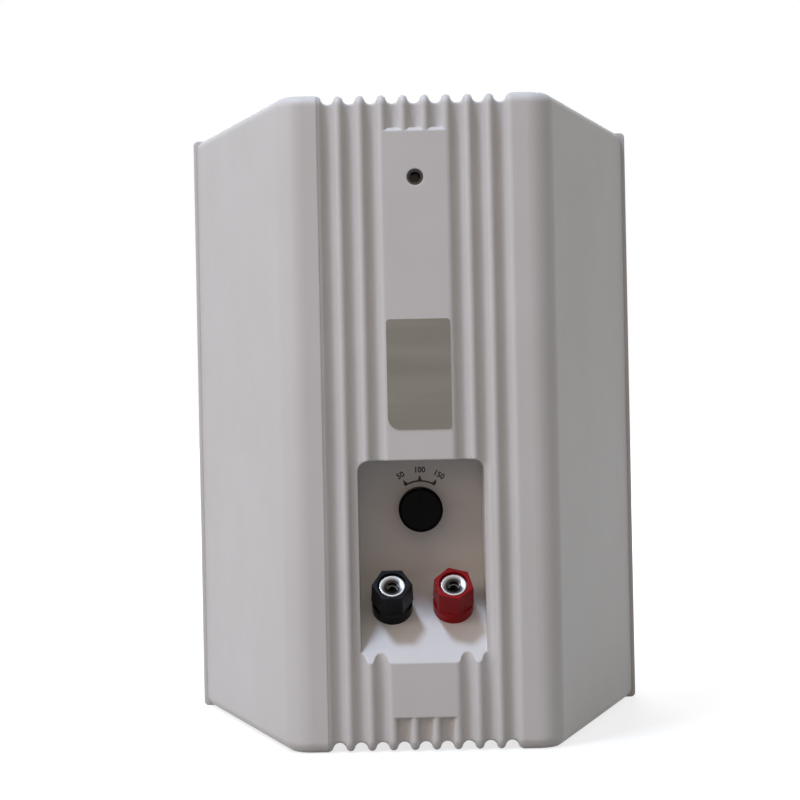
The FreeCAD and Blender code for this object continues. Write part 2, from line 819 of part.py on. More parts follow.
def rear_cabinet():
    pocket = pocket_form()
    cavity = cut("shell_cavity", cavity_form(), shell_islands(pocket))
    insert_floor = "y_back - insert_recess - insert_length"
    openings = [
        cavity,
        pocket,
        rod("insert_mouth", "insert_mouth_radius", "0", "y_back - insert_recess", "y_back + overcut",
            "insert_height"),
        rod("insert_seat", "insert_radius", "0", insert_floor, "y_back - insert_recess", "insert_height"),
        seat_rod("selector_hole", "selector", "bush_radius + hole_gap", "0 - cab_wall - overcut", "overcut"),
    ]
    for post in ("black", "red"):
        openings.append(seat_rod(post + "_hole", post, "collar_spigot_radius + screw_gap",
                                 "0 - cab_wall - overcut", "overcut"))
    openings += holes("baffle_pilot", baffle_screw_spots(), "pilot_radius",
                      "y_panel_back - overcut", "y_panel + baffle_screw_length + overcut")
    openings += holes("inner_pilot", list(board_screw_spots()) + list(strap_screw_spots()), "pilot_radius",
                      "y_inner - standoff_height - overcut", "y_inner - screw_gap")
    return node(cut("rear_cabinet_shell", shell_form(), fuse("shell_openings", openings)), "rear_cabinet")


def bracket_insert():
    back = "0 - insert_recess"
    ring("bracket_insert", "insert", "insert_thread_radius", "insert_radius",
         f"{back} - insert_length", back)


def rating_label():
    """A plain foil plate with one larger corner."""
    body = new_body("rating_label")
    outline = sketch(body, "XZ_Plane", "label_outline",
                     rectangle("label_width / 2", "label_bottom", "label_bottom + label_height"))
    outline.setExpression("AttachmentOffset.Base.z", formula("0 - y_back"))
    plate = feature(body, "Pad", "label_plate", outline, Length="label_thick")
    x_cut = value("label_width / 2")
    z_cut = value("label_bottom")

    def at_cut(edge):
        return near(edge.CenterOfMass.x, x_cut) and near(edge.CenterOfMass.z, z_cut)

    small = round_edges(body, "label_corners", plate, "label_radius",
                        lambda edge: runs_along(edge, 1) and not at_cut(edge))
    round_edges(body, "label_cut", small, "label_cut_radius",
                lambda edge: runs_along(edge, 1) and at_cut(edge))
    node(body, "rating_label")


def front_baffle():
    """The front frame, its rebate for the grille, and the panel that carries both drivers."""
    body = new_body("front_baffle")
    outline = sketch(body, "XZ_Plane", "frame_outline", rectangle("frame_half", "0", "cab_height"))
    outline.setExpression("AttachmentOffset.Base.z", formula("0 - y_frame"))
    block = feature(body, "Pad", "frame_block", outline, Length="frame_depth")
    corners = round_edges(body, "frame_corners", block, "frame_radius", lambda edge: runs_along(edge, 1))
    y_front = value("y_front")
    round_edges(body, "frame_edges", corners, "frame_edge_radius",
                lambda edge: near(edge.BoundBox.YMin, y_front) and near(edge.BoundBox.YMax, y_front))
    spigot = sketch(body, "XZ_Plane", "spigot_outline",
                    rectangle("spigot_half", "spigot_low", "cab_height - spigot_low"))
    spigot.setExpression("AttachmentOffset.Base.z", formula("0 - y_panel_back"))
    feature(body, "Pad", "spigot", spigot, Length="y_panel_back - y_frame + panel_thick / 2")
    rebate = sketch(body, "XZ_Plane", "rebate_outline",
                    rectangle("rebate_half", "frame_rim", "cab_height - frame_rim"))
    rebate.setExpression("AttachmentOffset.Base.z", formula("0 - y_front"))
    feature(body, "Pocket", "rebate", rebate, Length="grille_recess + grille_thick")
    tray = sketch(body, "XZ_Plane", "tray_outline",
                  rectangle("tray_half", "tray_low", "cab_height - tray_low"))
    tray.setExpression("AttachmentOffset.Base.z", formula("0 - y_front"))
    feature(body, "Pocket", "tray", tray, Length="tray_depth")

    front, back = "y_panel - overcut", "y_panel_back + overcut"
    openings = [
        rod("woofer_opening", "woofer_hole", "0", front, back, "woofer_height"),
        rod("tweeter_opening", "tweeter_boss_radius + hole_gap", "0", front, back, "tweeter_height"),
    ]
    openings += holes("baffle_hole", baffle_screw_spots(), "hole_radius", front, back)
    openings += holes("woofer_pilot", woofer_screw_spots(), "pilot_radius", front, back)
    openings += holes("tweeter_pilot", tweeter_screw_spots(), "pilot_radius", front, back)
    node(cut("front_baffle_panel", body, fuse("baffle_openings", openings)), "front_baffle")
    screws("baffle_screws", baffle_screw_spots(), "y_panel", "baffle_screw_length", -1)


def woofer_screw_spots():
    return circle_spots("woofer_height", "woofer_screw_circle", "woofer_screw_count")


def tweeter_screw_spots():
    return circle_spots("tweeter_height", "tweeter_screw_circle", "tweeter_screw_count")


def baffle_gasket():
    body = new_body("baffle_gasket")
    outer = rectangle("cab_front_width / 2 - gasket_inset", "gasket_inset", "cab_height - gasket_inset")
    inner_low = "flute_total + cab_wall"
    inner = rectangle("cab_front_width / 2 - wall_across", inner_low, f"cab_height - ({inner_low})")
    outline = sketch(body, "XZ_Plane", "gasket_outline", outer, inner)
    outline.setExpression("AttachmentOffset.Base.z", formula("0 - y_lip"))
    strip_ring = feature(body, "Pad", "gasket_ring", outline, Length="gasket_thick")
    x_outer = value("cab_front_width / 2 - gasket_inset")
    round_edges(body, "gasket_corners", strip_ring, "cab_edge_radius",
                lambda edge: runs_along(edge, 1) and near(abs(edge.CenterOfMass.x), x_outer))
    node(body, "baffle_gasket")


def front_grille():
    """A plate of upright slots, in rows with a tie bar between them."""
    body = new_body("front_grille")
    half = "rebate_half - grille_gap"
    low = "frame_rim + grille_gap"
    outline = sketch(body, "XZ_Plane", "grille_outline", rectangle(half, low, f"cab_height - ({low})"))
    outline.setExpression("AttachmentOffset.Base.z", formula("0 - (y_grille + grille_thick)"))
    feature(body, "Pad", "grille_plate", outline, Length="grille_thick")
    left = "slot_first - slot_width / 2"
    right = "slot_first + slot_width / 2"
    column = []
    for row in range(int(value("slot_rows"))):
        bottom = f"slot_low + {row} * (slot_tall + slot_tie)"
        top = f"{bottom} + slot_tall"
        column.append([(left, bottom), (right, bottom), (right, top), (left, top)])
    slots = sketch(body, "XZ_Plane", "slot_column", *column)
    slots.setExpression("AttachmentOffset.Base.z", formula("0 - y_grille"))
    slot = feature(body, "Pocket", "slots", slots, Length="grille_thick")
    doc.recompute()
    row = body.newObject("PartDesign::LinearPattern", "slot_row")
    row.Originals = [slot]
    row.Direction = (origin(body, "X_Axis"), [""])
    row.Mode = "Spacing"
    bind(row, Offset="slot_pitch", Occurrences="slot_count")
    body.Tip = row
    node(body, "front_grille")


def woofer():
    woofer_basket()
    woofer_soft_parts()
    woofer_motor()
    screws("woofer_screws", woofer_screw_spots(), "y_panel - woofer_flange", "woofer_screw_length", -1)


def woofer_basket():
    """A pressed basket: flange, windowed cone, ledge for the spider, and the plate on the magnet."""
    flange = "0 - woofer_flange"
    step = "basket_ledge_radius + basket_ledge_width"
    body = turned("woofer_basket", "woofer", [
        ("basket_throat", flange),
        ("woofer_radius", flange),
        ("woofer_radius", "0"),
        ("basket_throat + basket_sheet", "0"),
        (f"{step} + basket_sheet", "basket_ledge + basket_sheet"),
        ("basket_ledge_radius + basket_sheet", "basket_ledge + basket_sheet"),
        ("basket_ledge_radius + basket_sheet", "basket_depth"),
        ("plate_bore + basket_sheet", "basket_depth"),
        ("plate_bore + basket_sheet", "basket_depth - basket_sheet"),
        ("basket_ledge_radius", "basket_depth - basket_sheet"),
        ("basket_ledge_radius", "basket_ledge"),
        (step, "basket_ledge"),
    ])
    low, high = "basket_web", "basket_ledge - basket_web"
    near_side, far_side = "basket_ledge_radius", "woofer_radius"
    opening = sketch(body, "XZ_Plane", "window_section", [
        (near_side, low), (far_side, low), (far_side, high), (near_side, high),
    ])
    window = feature(body, "Pocket", "window", opening, Length="basket_window_width")
    window.Midplane = True
    ring_pattern(body, "windows", window, "basket_windows")
    flange_holes = holes("flange_hole", woofer_screw_spots(), "hole_radius",
                         "y_panel - woofer_flange - overcut", "y_panel + overcut")
    node(cut("woofer_basket_frame", body, fuse("flange_holes", flange_holes)), "woofer_basket")


def woofer_soft_parts():
    """Trim ring, surround, cone, dust cap and spider, from the front to the back."""
    lip = "surround_base - surround_sheet"
    ring("woofer_trim", "woofer", "basket_throat", "basket_throat + trim_width", f"{lip} - trim_thick", lip)
    crown = f"{lip} - surround_roll"
    hollow = "surround_base - surround_roll"
    node(turned("woofer_surround", "woofer", [
        ("surround_outer + surround_lip", "surround_base"),
        ("surround_outer + surround_lip", lip),
        ("surround_outer", lip),
        ("surround_outer - surround_lean", crown),
        ("surround_inner + surround_lean", crown),
        ("surround_inner", "surround_base"),
        ("cone_radius - cone_flange", "surround_base"),
        ("cone_radius - cone_flange", "cone_front"),
        ("surround_inner + surround_sheet", "cone_front"),
        ("surround_inner + surround_lean + surround_sheet", hollow),
        ("surround_outer - surround_lean - surround_sheet", hollow),
        ("surround_outer - surround_sheet", "surround_base"),
    ]), "woofer_surround")
    slope = "cone_radius - cone_flange"
    node(turned("woofer_cone", "woofer", [
        ("former_outer", "cone_neck"),
        (slope, "cone_front"),
        ("cone_radius", "cone_front"),
        ("cone_radius", "cone_front + cone_sheet"),
        (f"{slope} + cone_sheet / 2", "cone_front + cone_sheet"),
        ("former_outer", "cone_neck + cone_sheet"),
    ]), "woofer_cone")
    seat, tall = "dust_cap_seat", "dust_cap_height"
    node(turned("woofer_dust_cap", "woofer", [
        ("dust_cap_radius", seat),
        ("dust_cap_crown", f"{seat} - {tall}"),
        ("0", f"{seat} - {tall}"),
        ("0", f"{seat} - {tall} + dust_cap_sheet"),
        ("dust_cap_crown - dust_cap_sheet", f"{seat} - {tall} + dust_cap_sheet"),
        ("dust_cap_radius - 2 * dust_cap_sheet", seat),
    ]), "woofer_dust_cap")
    inner = "former_outer + seat_gap"
    outer = "basket_ledge_radius + basket_ledge_width / 2"
    span = "(basket_ledge_radius - former_outer)"
    waves = [
        (outer, "0"),
        ("basket_ledge_radius", "0"),
        (f"former_outer + 2 * {span} / 3", "0 - spider_wave"),
        (f"former_outer + {span} / 3", "spider_wave"),
        (inner, "0"),
    ]
    front = [(radius, f"spider_front + {lift}") for radius, lift in waves]
    back = [(radius, f"basket_ledge + {lift}") for radius, lift in reversed(waves)]
    node(turned("woofer_spider", "woofer", front + back), "woofer_spider")


def woofer_motor():
    """Voice coil, top plate, magnet ring, and the back plate with its pole."""
    start, end = "winding_middle - winding_length / 2", "winding_middle + winding_length / 2"
    node(turned("woofer_voice_coil", "woofer", [
        ("former_inner", "cone_neck - cone_sheet"),
        ("former_outer", "cone_neck - cone_sheet"),
        ("former_outer", start),
        ("coil_outer", start),
        ("coil_outer", end),
        ("former_outer", end),
        ("former_outer", "former_end"),
        ("former_inner", "former_end"),
    ]), "woofer_voice_coil")
    ring("woofer_top_plate", "woofer", "plate_bore", "plate_radius", "basket_depth", "plate_back")
    ring("woofer_magnet", "woofer", "magnet_bore", "magnet_radius", "plate_back", "magnet_back")
    node(turned("woofer_back_plate", "woofer", [
        ("0", "basket_depth"),
        ("pole_radius", "basket_depth"),
        ("pole_radius", "magnet_back"),
        ("plate_radius", "magnet_back"),
        ("plate_radius", "magnet_back + plate_thick"),
        ("0", "magnet_back + plate_thick"),
    ]), "woofer_back_plate")


def tweeter():
    face = "0 - tweeter_face"
    body = turned("tweeter_faceplate", "tweeter", [
        ("tweeter_throat", "0"),
        ("tweeter_mouth", face),
        ("tweeter_radius", face),
        ("tweeter_radius", "0"),
        ("tweeter_boss_radius", "0"),
        ("tweeter_boss_radius", "tweeter_boss"),
        ("tweeter_throat", "tweeter_boss"),
    ])
    plate_holes = holes("faceplate_hole", tweeter_screw_spots(), "hole_radius",
                        "y_panel - tweeter_face - overcut", "y_panel + overcut")
    node(cut("tweeter_face", body, fuse("faceplate_holes", plate_holes)), "tweeter_faceplate")
    base = "tweeter_boss"
    node(turned("tweeter_dome", "tweeter", [
        ("dome_radius + dome_rim", base),
        ("dome_radius", base),
        ("dome_crown", f"{base} - dome_height"),
        ("0", f"{base} - dome_height"),
        ("0", f"{base} - dome_height + dome_sheet"),
        ("dome_crown - dome_sheet", f"{base} - dome_height + dome_sheet"),
        ("dome_radius - dome_sheet", "dome_back"),
        ("dome_radius + dome_rim", "dome_back"),
    ]), "tweeter_dome")
    ring("tweeter_top_plate", "tweeter", "dome_radius + plate_gap", "tweeter_plate_radius",
         "dome_back", "tweeter_plate_back")
    ring("tweeter_magnet", "tweeter", "tweeter_magnet_bore", "tweeter_magnet_radius",
         "tweeter_plate_back", "tweeter_magnet_back")
    node(turned("tweeter_back_plate", "tweeter", [
        ("0", "dome_back"),
        ("tweeter_pole_radius", "dome_back"),
        ("tweeter_pole_radius", "tweeter_magnet_back"),
        ("tweeter_plate_radius", "tweeter_magnet_back"),
        ("tweeter_plate_radius", "tweeter_magnet_back + tweeter_plate_thick"),
        ("0", "tweeter_magnet_back + tweeter_plate_thick"),
    ]), "tweeter_back_plate")
    screws("tweeter_screws", tweeter_screw_spots(), "y_panel - tweeter_face", "woofer_screw_length", -1)


def crossover():
    """The board on its standoffs, with a coil, two capacitors and a resistor on its inner face."""
    plate = box("board_plate", "board_width / 2", "y_board", "y_board + board_thick",
                "board_height - board_tall / 2", "board_height + board_tall / 2")
    board_holes = holes("board_hole", board_screw_spots(), "hole_radius",
                        "y_board - overcut", "y_board + board_thick + overcut")
    node(cut("crossover_plate", plate, fuse("board_holes", board_holes)), "crossover_board")
    coil_x = "0 - inductor_offset"
    coil = rod("inductor_coil", "inductor_radius", coil_x, "y_board - inductor_length", "y_board",
               "board_height")
    bore = rod("inductor_hole", "inductor_bore", coil_x, "y_board - inductor_length - overcut",
               "y_board + overcut", "board_height")
    node(cut("inductor_ring", coil, bore), "crossover_inductor")
    tops = [
        rod(f"capacitor_{number}", "capacitor_radius", "capacitor_offset",
            "y_board - capacitor_length", "y_board", f"board_height + ({side}) * capacitor_spacing / 2")
        for number, side in enumerate(("1", "-1"), start=1)
    ]
    group("crossover_capacitors", tops)
    node(box("resistor_block", "resistor_section / 2", "y_board - resistor_section", "y_board",
             "board_height - resistor_length / 2", "board_height + resistor_length / 2",
             "resistor_offset"), "crossover_resistor")
    screws("crossover_screws", board_screw_spots(), "y_board", "small_screw_length", -1)


def transformer():
    """A line transformer: windowed core, coil on its middle leg, and a strap that holds it down."""
    half, low = "core_width / 2", "y_strap - core_tall"
    core = new_body("transformer_core")
    slot_near, slot_far = "core_centre / 2", "core_centre / 2 + core_window"
    window_low, window_high = f"{low} + core_leg", "y_strap - core_leg"
    outline = [(f"0 - {half}", low), (half, low), (half, "y_strap"), (f"0 - {half}", "y_strap")]
    windows = [
        [(f"{side} * ({slot_near})", window_low), (f"{side} * ({slot_far})", window_low),
         (f"{side} * ({slot_far})", window_high), (f"{side} * ({slot_near})", window_high)]
        for side in ("1", "-1")
    ]
    core_plan = sketch(core, "XY_Plane", "core_plan", outline, *windows)
    feature(core, "Pad", "core_stack_pad", core_plan, Length="core_stack")
    node(place(core, z="transformer_height - core_stack / 2"), "transformer_core")

    coil = new_body("transformer_coil")
    turns = sketch(coil, "XZ_Plane", "coil_section",
                   rectangle(f"{slot_far} - coil_gap", "0 - core_stack / 2 - core_window + coil_gap",
                             "core_stack / 2 + core_window - coil_gap"),
                   rectangle(f"{slot_near} + coil_gap", "0 - core_stack / 2 - coil_gap",
                             "core_stack / 2 + coil_gap"))
    feature(coil, "Pad", "coil_turns", turns, Length="core_window_tall - 2 * coil_gap")
    node(place(coil, y=f"{window_high} - coil_gap", z="transformer_height"), "transformer_coil")

    strap = new_body("transformer_strap")
    side, foot = f"{half} + strap_sheet", f"{half} + strap_sheet + strap_foot"
    top, tread = f"{low} - strap_sheet", "y_strap - strap_sheet"
    right = [(foot, tread), (foot, "y_strap"), (half, "y_strap"), (half, low)]
    left = [(f"0 - ({x})", y) for x, y in reversed(right)]
    over = [(f"0 - ({side})", tread), (f"0 - ({side})", top), (side, top), (side, tread)]
    strap_plan = sketch(strap, "XY_Plane", "strap_plan", right + left + over)
    feature(strap, "Pad", "strap_pad", strap_plan, Length="core_stack")
    place(strap, z="transformer_height - core_stack / 2")
    foot_holes = holes("foot_hole", strap_screw_spots(), "hole_radius",
                       "y_strap - strap_sheet - overcut", "y_strap + overcut")
    node(cut("transformer_frame", strap, fuse("foot_holes", foot_holes)), "transformer_strap")
    screws("transformer_screws", strap_screw_spots(), tread, "small_screw_length", -1)


def selector():
    """Rotary power selector: switch behind the pocket wall, bush, washer and nut, shaft and knob."""
    front, bore = "0 - cab_wall", "shaft_radius + hole_gap"
    node(turned("selector_switch", "selector", [
        ("0", "switch_back"),
        ("switch_radius", "switch_back"),
        ("switch_radius", front),
        (bore, front),
        (bore, "shaft_start - hole_gap"),
        ("0", "shaft_start - hole_gap"),
    ]), "selector_switch")
    ring("selector_bush", "selector", "shaft_radius + running_gap", "bush_radius", front, "bush_reach")
    ring("selector_washer", "selector", "bush_radius + screw_gap", "bush_washer_radius",
         "0", "bush_washer_thick")
    nut_end = "bush_washer_thick + bush_nut_thick"
    nut = seat_hexagon("bush_nut", "selector", "bush_nut_flats", "bush_washer_thick", nut_end)
    thread = seat_rod("bush_thread", "selector", "bush_radius + screw_gap", "0", f"{nut_end} + overcut")
    node(cut("selector_hexagon", nut, thread), "selector_nut")
    node(seat_rod("selector_spindle", "selector", "shaft_radius", "shaft_start", "shaft_end"),
         "selector_shaft")
    lugs = []
    for step in range(int(value("lug_count"))):
        angle = f"{step} * 360 / lug_count"
        lugs.append(box(f"lug_{step + 1}", "lug_width / 2", "y_pocket + switch_back - lug_length",
                        "y_pocket + switch_back", f"knob_height + lug_circle * cos({angle}) - lug_thick / 2",
                        f"knob_height + lug_circle * cos({angle}) + lug_thick / 2",
                        f"lug_circle * sin({angle})"))
    group("selector_lugs", lugs)

    cup = "knob_radius - knob_skirt"
    knob = turned("selector_knob", "selector", [
        (cup, "knob_lift"),
        ("knob_radius", "knob_lift"),
        ("knob_radius", "knob_end - knob_bevel"),
        ("knob_radius - knob_bevel", "knob_end"),
        ("0", "knob_end"),
        ("0", "shaft_end"),
        ("shaft_radius", "shaft_end"),
        ("shaft_radius", "knob_cup"),
        (cup, "knob_cup"),
    ])
    mark = sketch(knob, "XY_Plane", "pointer_outline",
                  rectangle("pointer_width / 2", "0 - knob_radius", "0 - pointer_start"))
    mark.setExpression("AttachmentOffset.Base.z", formula("knob_end"))
    feature(knob, "Pocket", "pointer", mark, Length="pointer_depth")
    node(knob, "selector_knob")


def binding_post(post):
    """One binding post on the sloping floor, from the rear nut to the screw cap."""
    bore = "post_radius + screw_gap"
    node(turned(post + "_collar", post, [
        (bore, "0 - cab_wall"),
        ("collar_spigot_radius", "0 - cab_wall"),
        ("collar_spigot_radius", "0"),
        ("collar_radius", "0"),
        ("collar_radius", "collar_thick - collar_bevel"),
        ("collar_radius - collar_bevel", "collar_thick"),
        (bore, "collar_thick"),
    ]), post + "_collar")
    stud = turned(post + "_post", post, [
        ("0", "0 - post_tail"),
        ("post_radius", "0 - post_tail"),
        ("post_radius", "post_reach"),
        ("socket_radius", "post_reach"),
        ("socket_radius", "post_reach - socket_depth"),
        ("0", "post_reach - socket_depth"),
    ])
    drill = circle_sketch(stud, "YZ_Plane", post + "_wire_hole", "0", "wire_hole_reach", "wire_hole_radius")
    hole = feature(stud, "Pocket", post + "_drill", drill, Length="4 * post_radius")
    hole.Midplane = True
    node(stud, post + "_post")
    slide = "post_radius + running_gap"
    ring(post + "_clamp", post, slide, "clamp_radius", "clamp_low", "clamp_high")
    binding_post_cap(post)
    lip = "sleeve_radius - sleeve_rim"
    shoulder = "post_reach + sleeve_shoulder"
    node(turned(post + "_sleeve", post, [
        (slide, "sleeve_low"),
        ("sleeve_radius", "sleeve_low"),
        ("sleeve_radius", "sleeve_reach"),
        (lip, "sleeve_reach"),
        ("sleeve_throat", "sleeve_reach - sleeve_funnel"),
        ("sleeve_throat", shoulder),
        (slide, shoulder),
    ]), post + "_sleeve")
    ring(post + "_washer", post, bore, "seat_washer_radius", "seat_washer_low", "0 - cab_wall")
    eye = seat_rod(post + "_eye", post, "tag_radius", "tag_low", "seat_washer_low")
    tail = doc.addObject("Part::Box", post + "_tail")
    bind(tail, Length="tag_width", Width="tag_length", Height="tag_thick")
    x, y, z, elevation = SEATS[post]
    place(tail, f"{x} - tag_width / 2", f"{y} + tag_low * cos({elevation})",
          f"{z} + tag_low * sin({elevation})", elevation)
    tag_hole = seat_rod(post + "_tag_hole", post, bore, "tag_low - overcut", "seat_washer_low + overcut")
    node(cut(post + "_tag_plate", fuse(post + "_tag_blank", [eye, tail]), tag_hole), post + "_tag")
    nut = seat_hexagon(post + "_nut_blank", post, "post_nut_flats", "post_nut_low", "tag_low")
    nut_hole = seat_rod(post + "_nut_hole", post, bore, "post_nut_low - overcut", "tag_low + overcut")
    node(cut(post + "_nut_ring", nut, nut_hole), post + "_nut")


def binding_post_cap(post):
    """A six-sided cap that narrows towards its end, with a bore, a moat round the sleeve and a cup below."""
    body = new_body(post + "_cap_blank")
    reach = "cap_flats / sqrt(3)"
    corners = []
    for step in range(6):
        angle = f"{post}_cap_angle + {60 * step}"
        corners.append((f"{reach} * cos({angle})", f"{reach} * sin({angle})"))
    outline = sketch(body, "XY_Plane", post + "_cap_outline", corners)
    outline.setExpression("AttachmentOffset.Base.z", formula("cap_low"))
    feature(body, "Pad", post + "_cap_block", outline, Length="cap_length", TaperAngle="0 - cap_taper")
    on_seat(body, post)
    hollow = fuse(post + "_cap_hollow", [
        seat_rod(post + "_cap_bore", post, "sleeve_radius", "cap_low - overcut", "cap_high + overcut"),
        seat_rod(post + "_cap_moat", post, "sleeve_radius + cap_moat_width", "cap_high - cap_moat_depth",
                 "cap_high + overcut"),
        seat_rod(post + "_cap_cup", post, "clamp_radius + cap_cup_gap", "cap_low - overcut", "sleeve_low"),
    ])
    node(cut(post + "_cap_hexagon", body, hollow), post + "_cap")


def check():
    """Stop if any object failed or any sub-part is not one valid shape."""
    doc.recompute()
    for item in doc.Objects:
        if "Invalid" in item.State or "Error" in item.State:
            raise RuntimeError(f"{item.Label} failed: {item.State}")
    for item in nodes:
        if item.Shape.isNull() or not item.Shape.isValid() or not item.Shape.Solids:
            raise RuntimeError(f"{item.Label} has no valid solid")


def write():
    os.makedirs("parts", exist_ok=True)
    for item in nodes:
        item.Shape.exportStep(f"parts/{item.Label}.step")


fill_sheet()
rear_cabinet()
bracket_insert()
rating_label()
baffle_gasket()
front_baffle()
front_grille()
woofer()
tweeter()
crossover()
transformer()
selector()
for colour in ("black", "red"):
    binding_post(colour)
check()
write()
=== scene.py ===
"""Looks of the wall speaker: materials, fine detail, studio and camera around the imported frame.

Metres, in the frame of the CAD model: +Z up, the grille faces -Y and the fluted back +Y.
"""
import json
import math

import bmesh
import bpy
from mathutils import Matrix, Vector


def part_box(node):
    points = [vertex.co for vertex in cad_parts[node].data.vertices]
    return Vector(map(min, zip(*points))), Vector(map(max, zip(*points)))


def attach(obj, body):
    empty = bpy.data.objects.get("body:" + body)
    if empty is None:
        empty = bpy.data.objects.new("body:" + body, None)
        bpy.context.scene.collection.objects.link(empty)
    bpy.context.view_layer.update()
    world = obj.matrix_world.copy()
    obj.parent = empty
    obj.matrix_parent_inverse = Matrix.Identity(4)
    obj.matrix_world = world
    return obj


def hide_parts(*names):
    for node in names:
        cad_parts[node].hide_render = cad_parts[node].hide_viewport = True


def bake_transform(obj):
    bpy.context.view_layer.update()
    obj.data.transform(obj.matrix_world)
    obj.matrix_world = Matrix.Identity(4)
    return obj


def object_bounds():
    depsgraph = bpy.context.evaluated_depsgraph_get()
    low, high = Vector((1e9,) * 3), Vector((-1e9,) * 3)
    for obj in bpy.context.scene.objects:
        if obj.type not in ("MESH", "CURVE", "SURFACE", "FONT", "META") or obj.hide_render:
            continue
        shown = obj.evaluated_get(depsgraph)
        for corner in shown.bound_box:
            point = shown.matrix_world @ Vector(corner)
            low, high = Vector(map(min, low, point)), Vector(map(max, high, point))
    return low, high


MM = 0.001
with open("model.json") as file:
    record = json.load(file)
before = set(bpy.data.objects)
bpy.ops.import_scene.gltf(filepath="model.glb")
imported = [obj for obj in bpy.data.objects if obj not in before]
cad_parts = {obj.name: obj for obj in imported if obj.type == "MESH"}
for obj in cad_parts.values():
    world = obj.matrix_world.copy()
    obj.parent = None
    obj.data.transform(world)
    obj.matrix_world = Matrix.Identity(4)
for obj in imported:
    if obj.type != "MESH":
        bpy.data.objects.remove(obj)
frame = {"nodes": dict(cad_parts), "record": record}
CAD_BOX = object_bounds()
NODES = frame["nodes"]
SLOT_OF = {part["node"]: part["material_slot"] for part in frame["record"]["subparts"]}
SMOOTH_ANGLE = math.radians(32)
WELD_REACH = 0.001 * MM
BEVEL_SAMPLES = 6

# Camera, read from the photograph
CAMERA_PLACE = Vector((0.0159, 0.970, 0.1498))
CAMERA_ROLL = math.radians(-1.15)
CAMERA_LENS = 93.7
CAMERA_SHIFT_X = 0.0225
SENSOR_WIDTH = 36.0
SIGHT_FROM, SIGHT_TO = 0.01, 50.0

# Lamps: name, place from the middle of the speaker, size, power, colour
LAMPS = (
    ("key", (0.62, 0.66, 2.17), 0.375, 39.5, (0.61, 0.75, 1.0)),
    ("side", (1.6, 1.0, 0.6), 0.9, 10.7, (1.0, 0.89, 0.85)),
    ("room", (0.25, 1.7, 0.5), 1.4, 2.3, (1.0, 0.50, 0.18)),
    ("front_fill", (0.0, -1.9, 0.6), 0.8, 18.0, (1.0, 1.0, 1.0)),
)
WHITE = (1.0, 1.0, 1.0, 1.0)
WORLD_STRENGTH = 0.335

# Floor, and how white it is to the camera beside the speaker and far off
FLOOR_HALF = 6.0
FLOOR_COLOUR = (0.26, 0.26, 0.26, 1.0)
FLOOR_ROUGHNESS = 0.9
FLOOR_NEAR = 0.74
FLOOR_FAR = 1.0
FLOOR_FADE = 2.0

# Printed scale round the knob
SCALE_RADIUS = 12.1 * MM
SCALE_LINE = 0.75 * MM
SCALE_SPAN = math.radians(33)
SCALE_STEP = math.radians(30)
ARC_STEPS = 32
TICK_HEIGHT = 2.3 * MM
TICK_HALF = 0.9 * MM
NUMBER_RADIUS = 16.9 * MM
NUMBER_SIZE = 3.4 * MM
NUMBER_WEIGHT = 0.1 * MM
NUMBER_STEP = 50
INK_THICK = 0.04 * MM

# Thread in the bracket insert
THREAD_RADIUS = 2.5 * MM
THREAD_PITCH = 1.0 * MM
THREAD_RIDGE = 0.22 * MM
THREAD_STEPS = 24

# Sleeves of the binding posts: their radius and tilt also set the reach of the painted shade in their
# bowls
SLEEVE_RADIUS = 5.4 * MM
SEAT_TILT = math.radians(-48.75)

# Soft parts of the drivers
TURN_STEPS = 96
RING_SECTORS = 16
SECTOR_STEPS = 8
ROLL_STEPS = 14
ROLL_SHEET = 0.8 * MM
ROLL_RIM = 5.0 * MM
ROLL_OVERLAP = 0.4 * MM
ROLL_GLUE = 3.0 * MM
SPIDER_WAVES = 4
SPIDER_WAVE_STEPS = 10
SPIDER_WAVE = 1.4 * MM
SPIDER_SHEET = 0.6 * MM
SPIDER_RIM = 3.0 * MM
SPIDER_NECK = 1.5 * MM
DOME_STEPS = 12
DUST_CAP_SHEET = 0.6 * MM
FILM_SHEET = 0.5 * MM
FILM_RING = 7.0 * MM

# Cross recesses in the screw heads
SCREW_NODES = (
    "baffle_screws", "woofer_screws", "tweeter_screws", "crossover_screws", "transformer_screws"
)
SCREW_APART = 8.0 * MM
RECESS_ARM = 1.7 * MM
RECESS_HALF = 0.45 * MM
RECESS_DEPTH = 1.3 * MM
RECESS_TAPER = 0.5


def centre_of(node):
    low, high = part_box(node)
    return (low + high) / 2


def new_object(name, mesh):
    made = bpy.data.objects.new(name, mesh)
    bpy.context.scene.collection.objects.link(made)
    return made


def mesh_from(name, build):
    """A mesh object filled by a function that draws into an empty bmesh."""
    drawing = bmesh.new()
    build(drawing)
    bmesh.ops.recalc_face_normals(drawing, faces=drawing.faces)
    mesh = bpy.data.meshes.new(name)
    drawing.to_mesh(mesh)
    drawing.free()
    return new_object(name, mesh)


def shade_smooth(obj):
    """Smooth shading with sharp edges kept, weighted so that flat faces stay flat."""
    obj.data.shade_smooth()
    obj.data.set_sharp_from_angle(angle=SMOOTH_ANGLE)
    weighted = obj.modifiers.new("weighted_normals", "WEIGHTED_NORMAL")
    weighted.keep_sharp = True


def dress(obj, look):
    obj.data.materials.clear()
    obj.data.materials.append(look)


def add_piece(obj, look, body):
    dress(obj, look)
    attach(obj, body)
    return obj


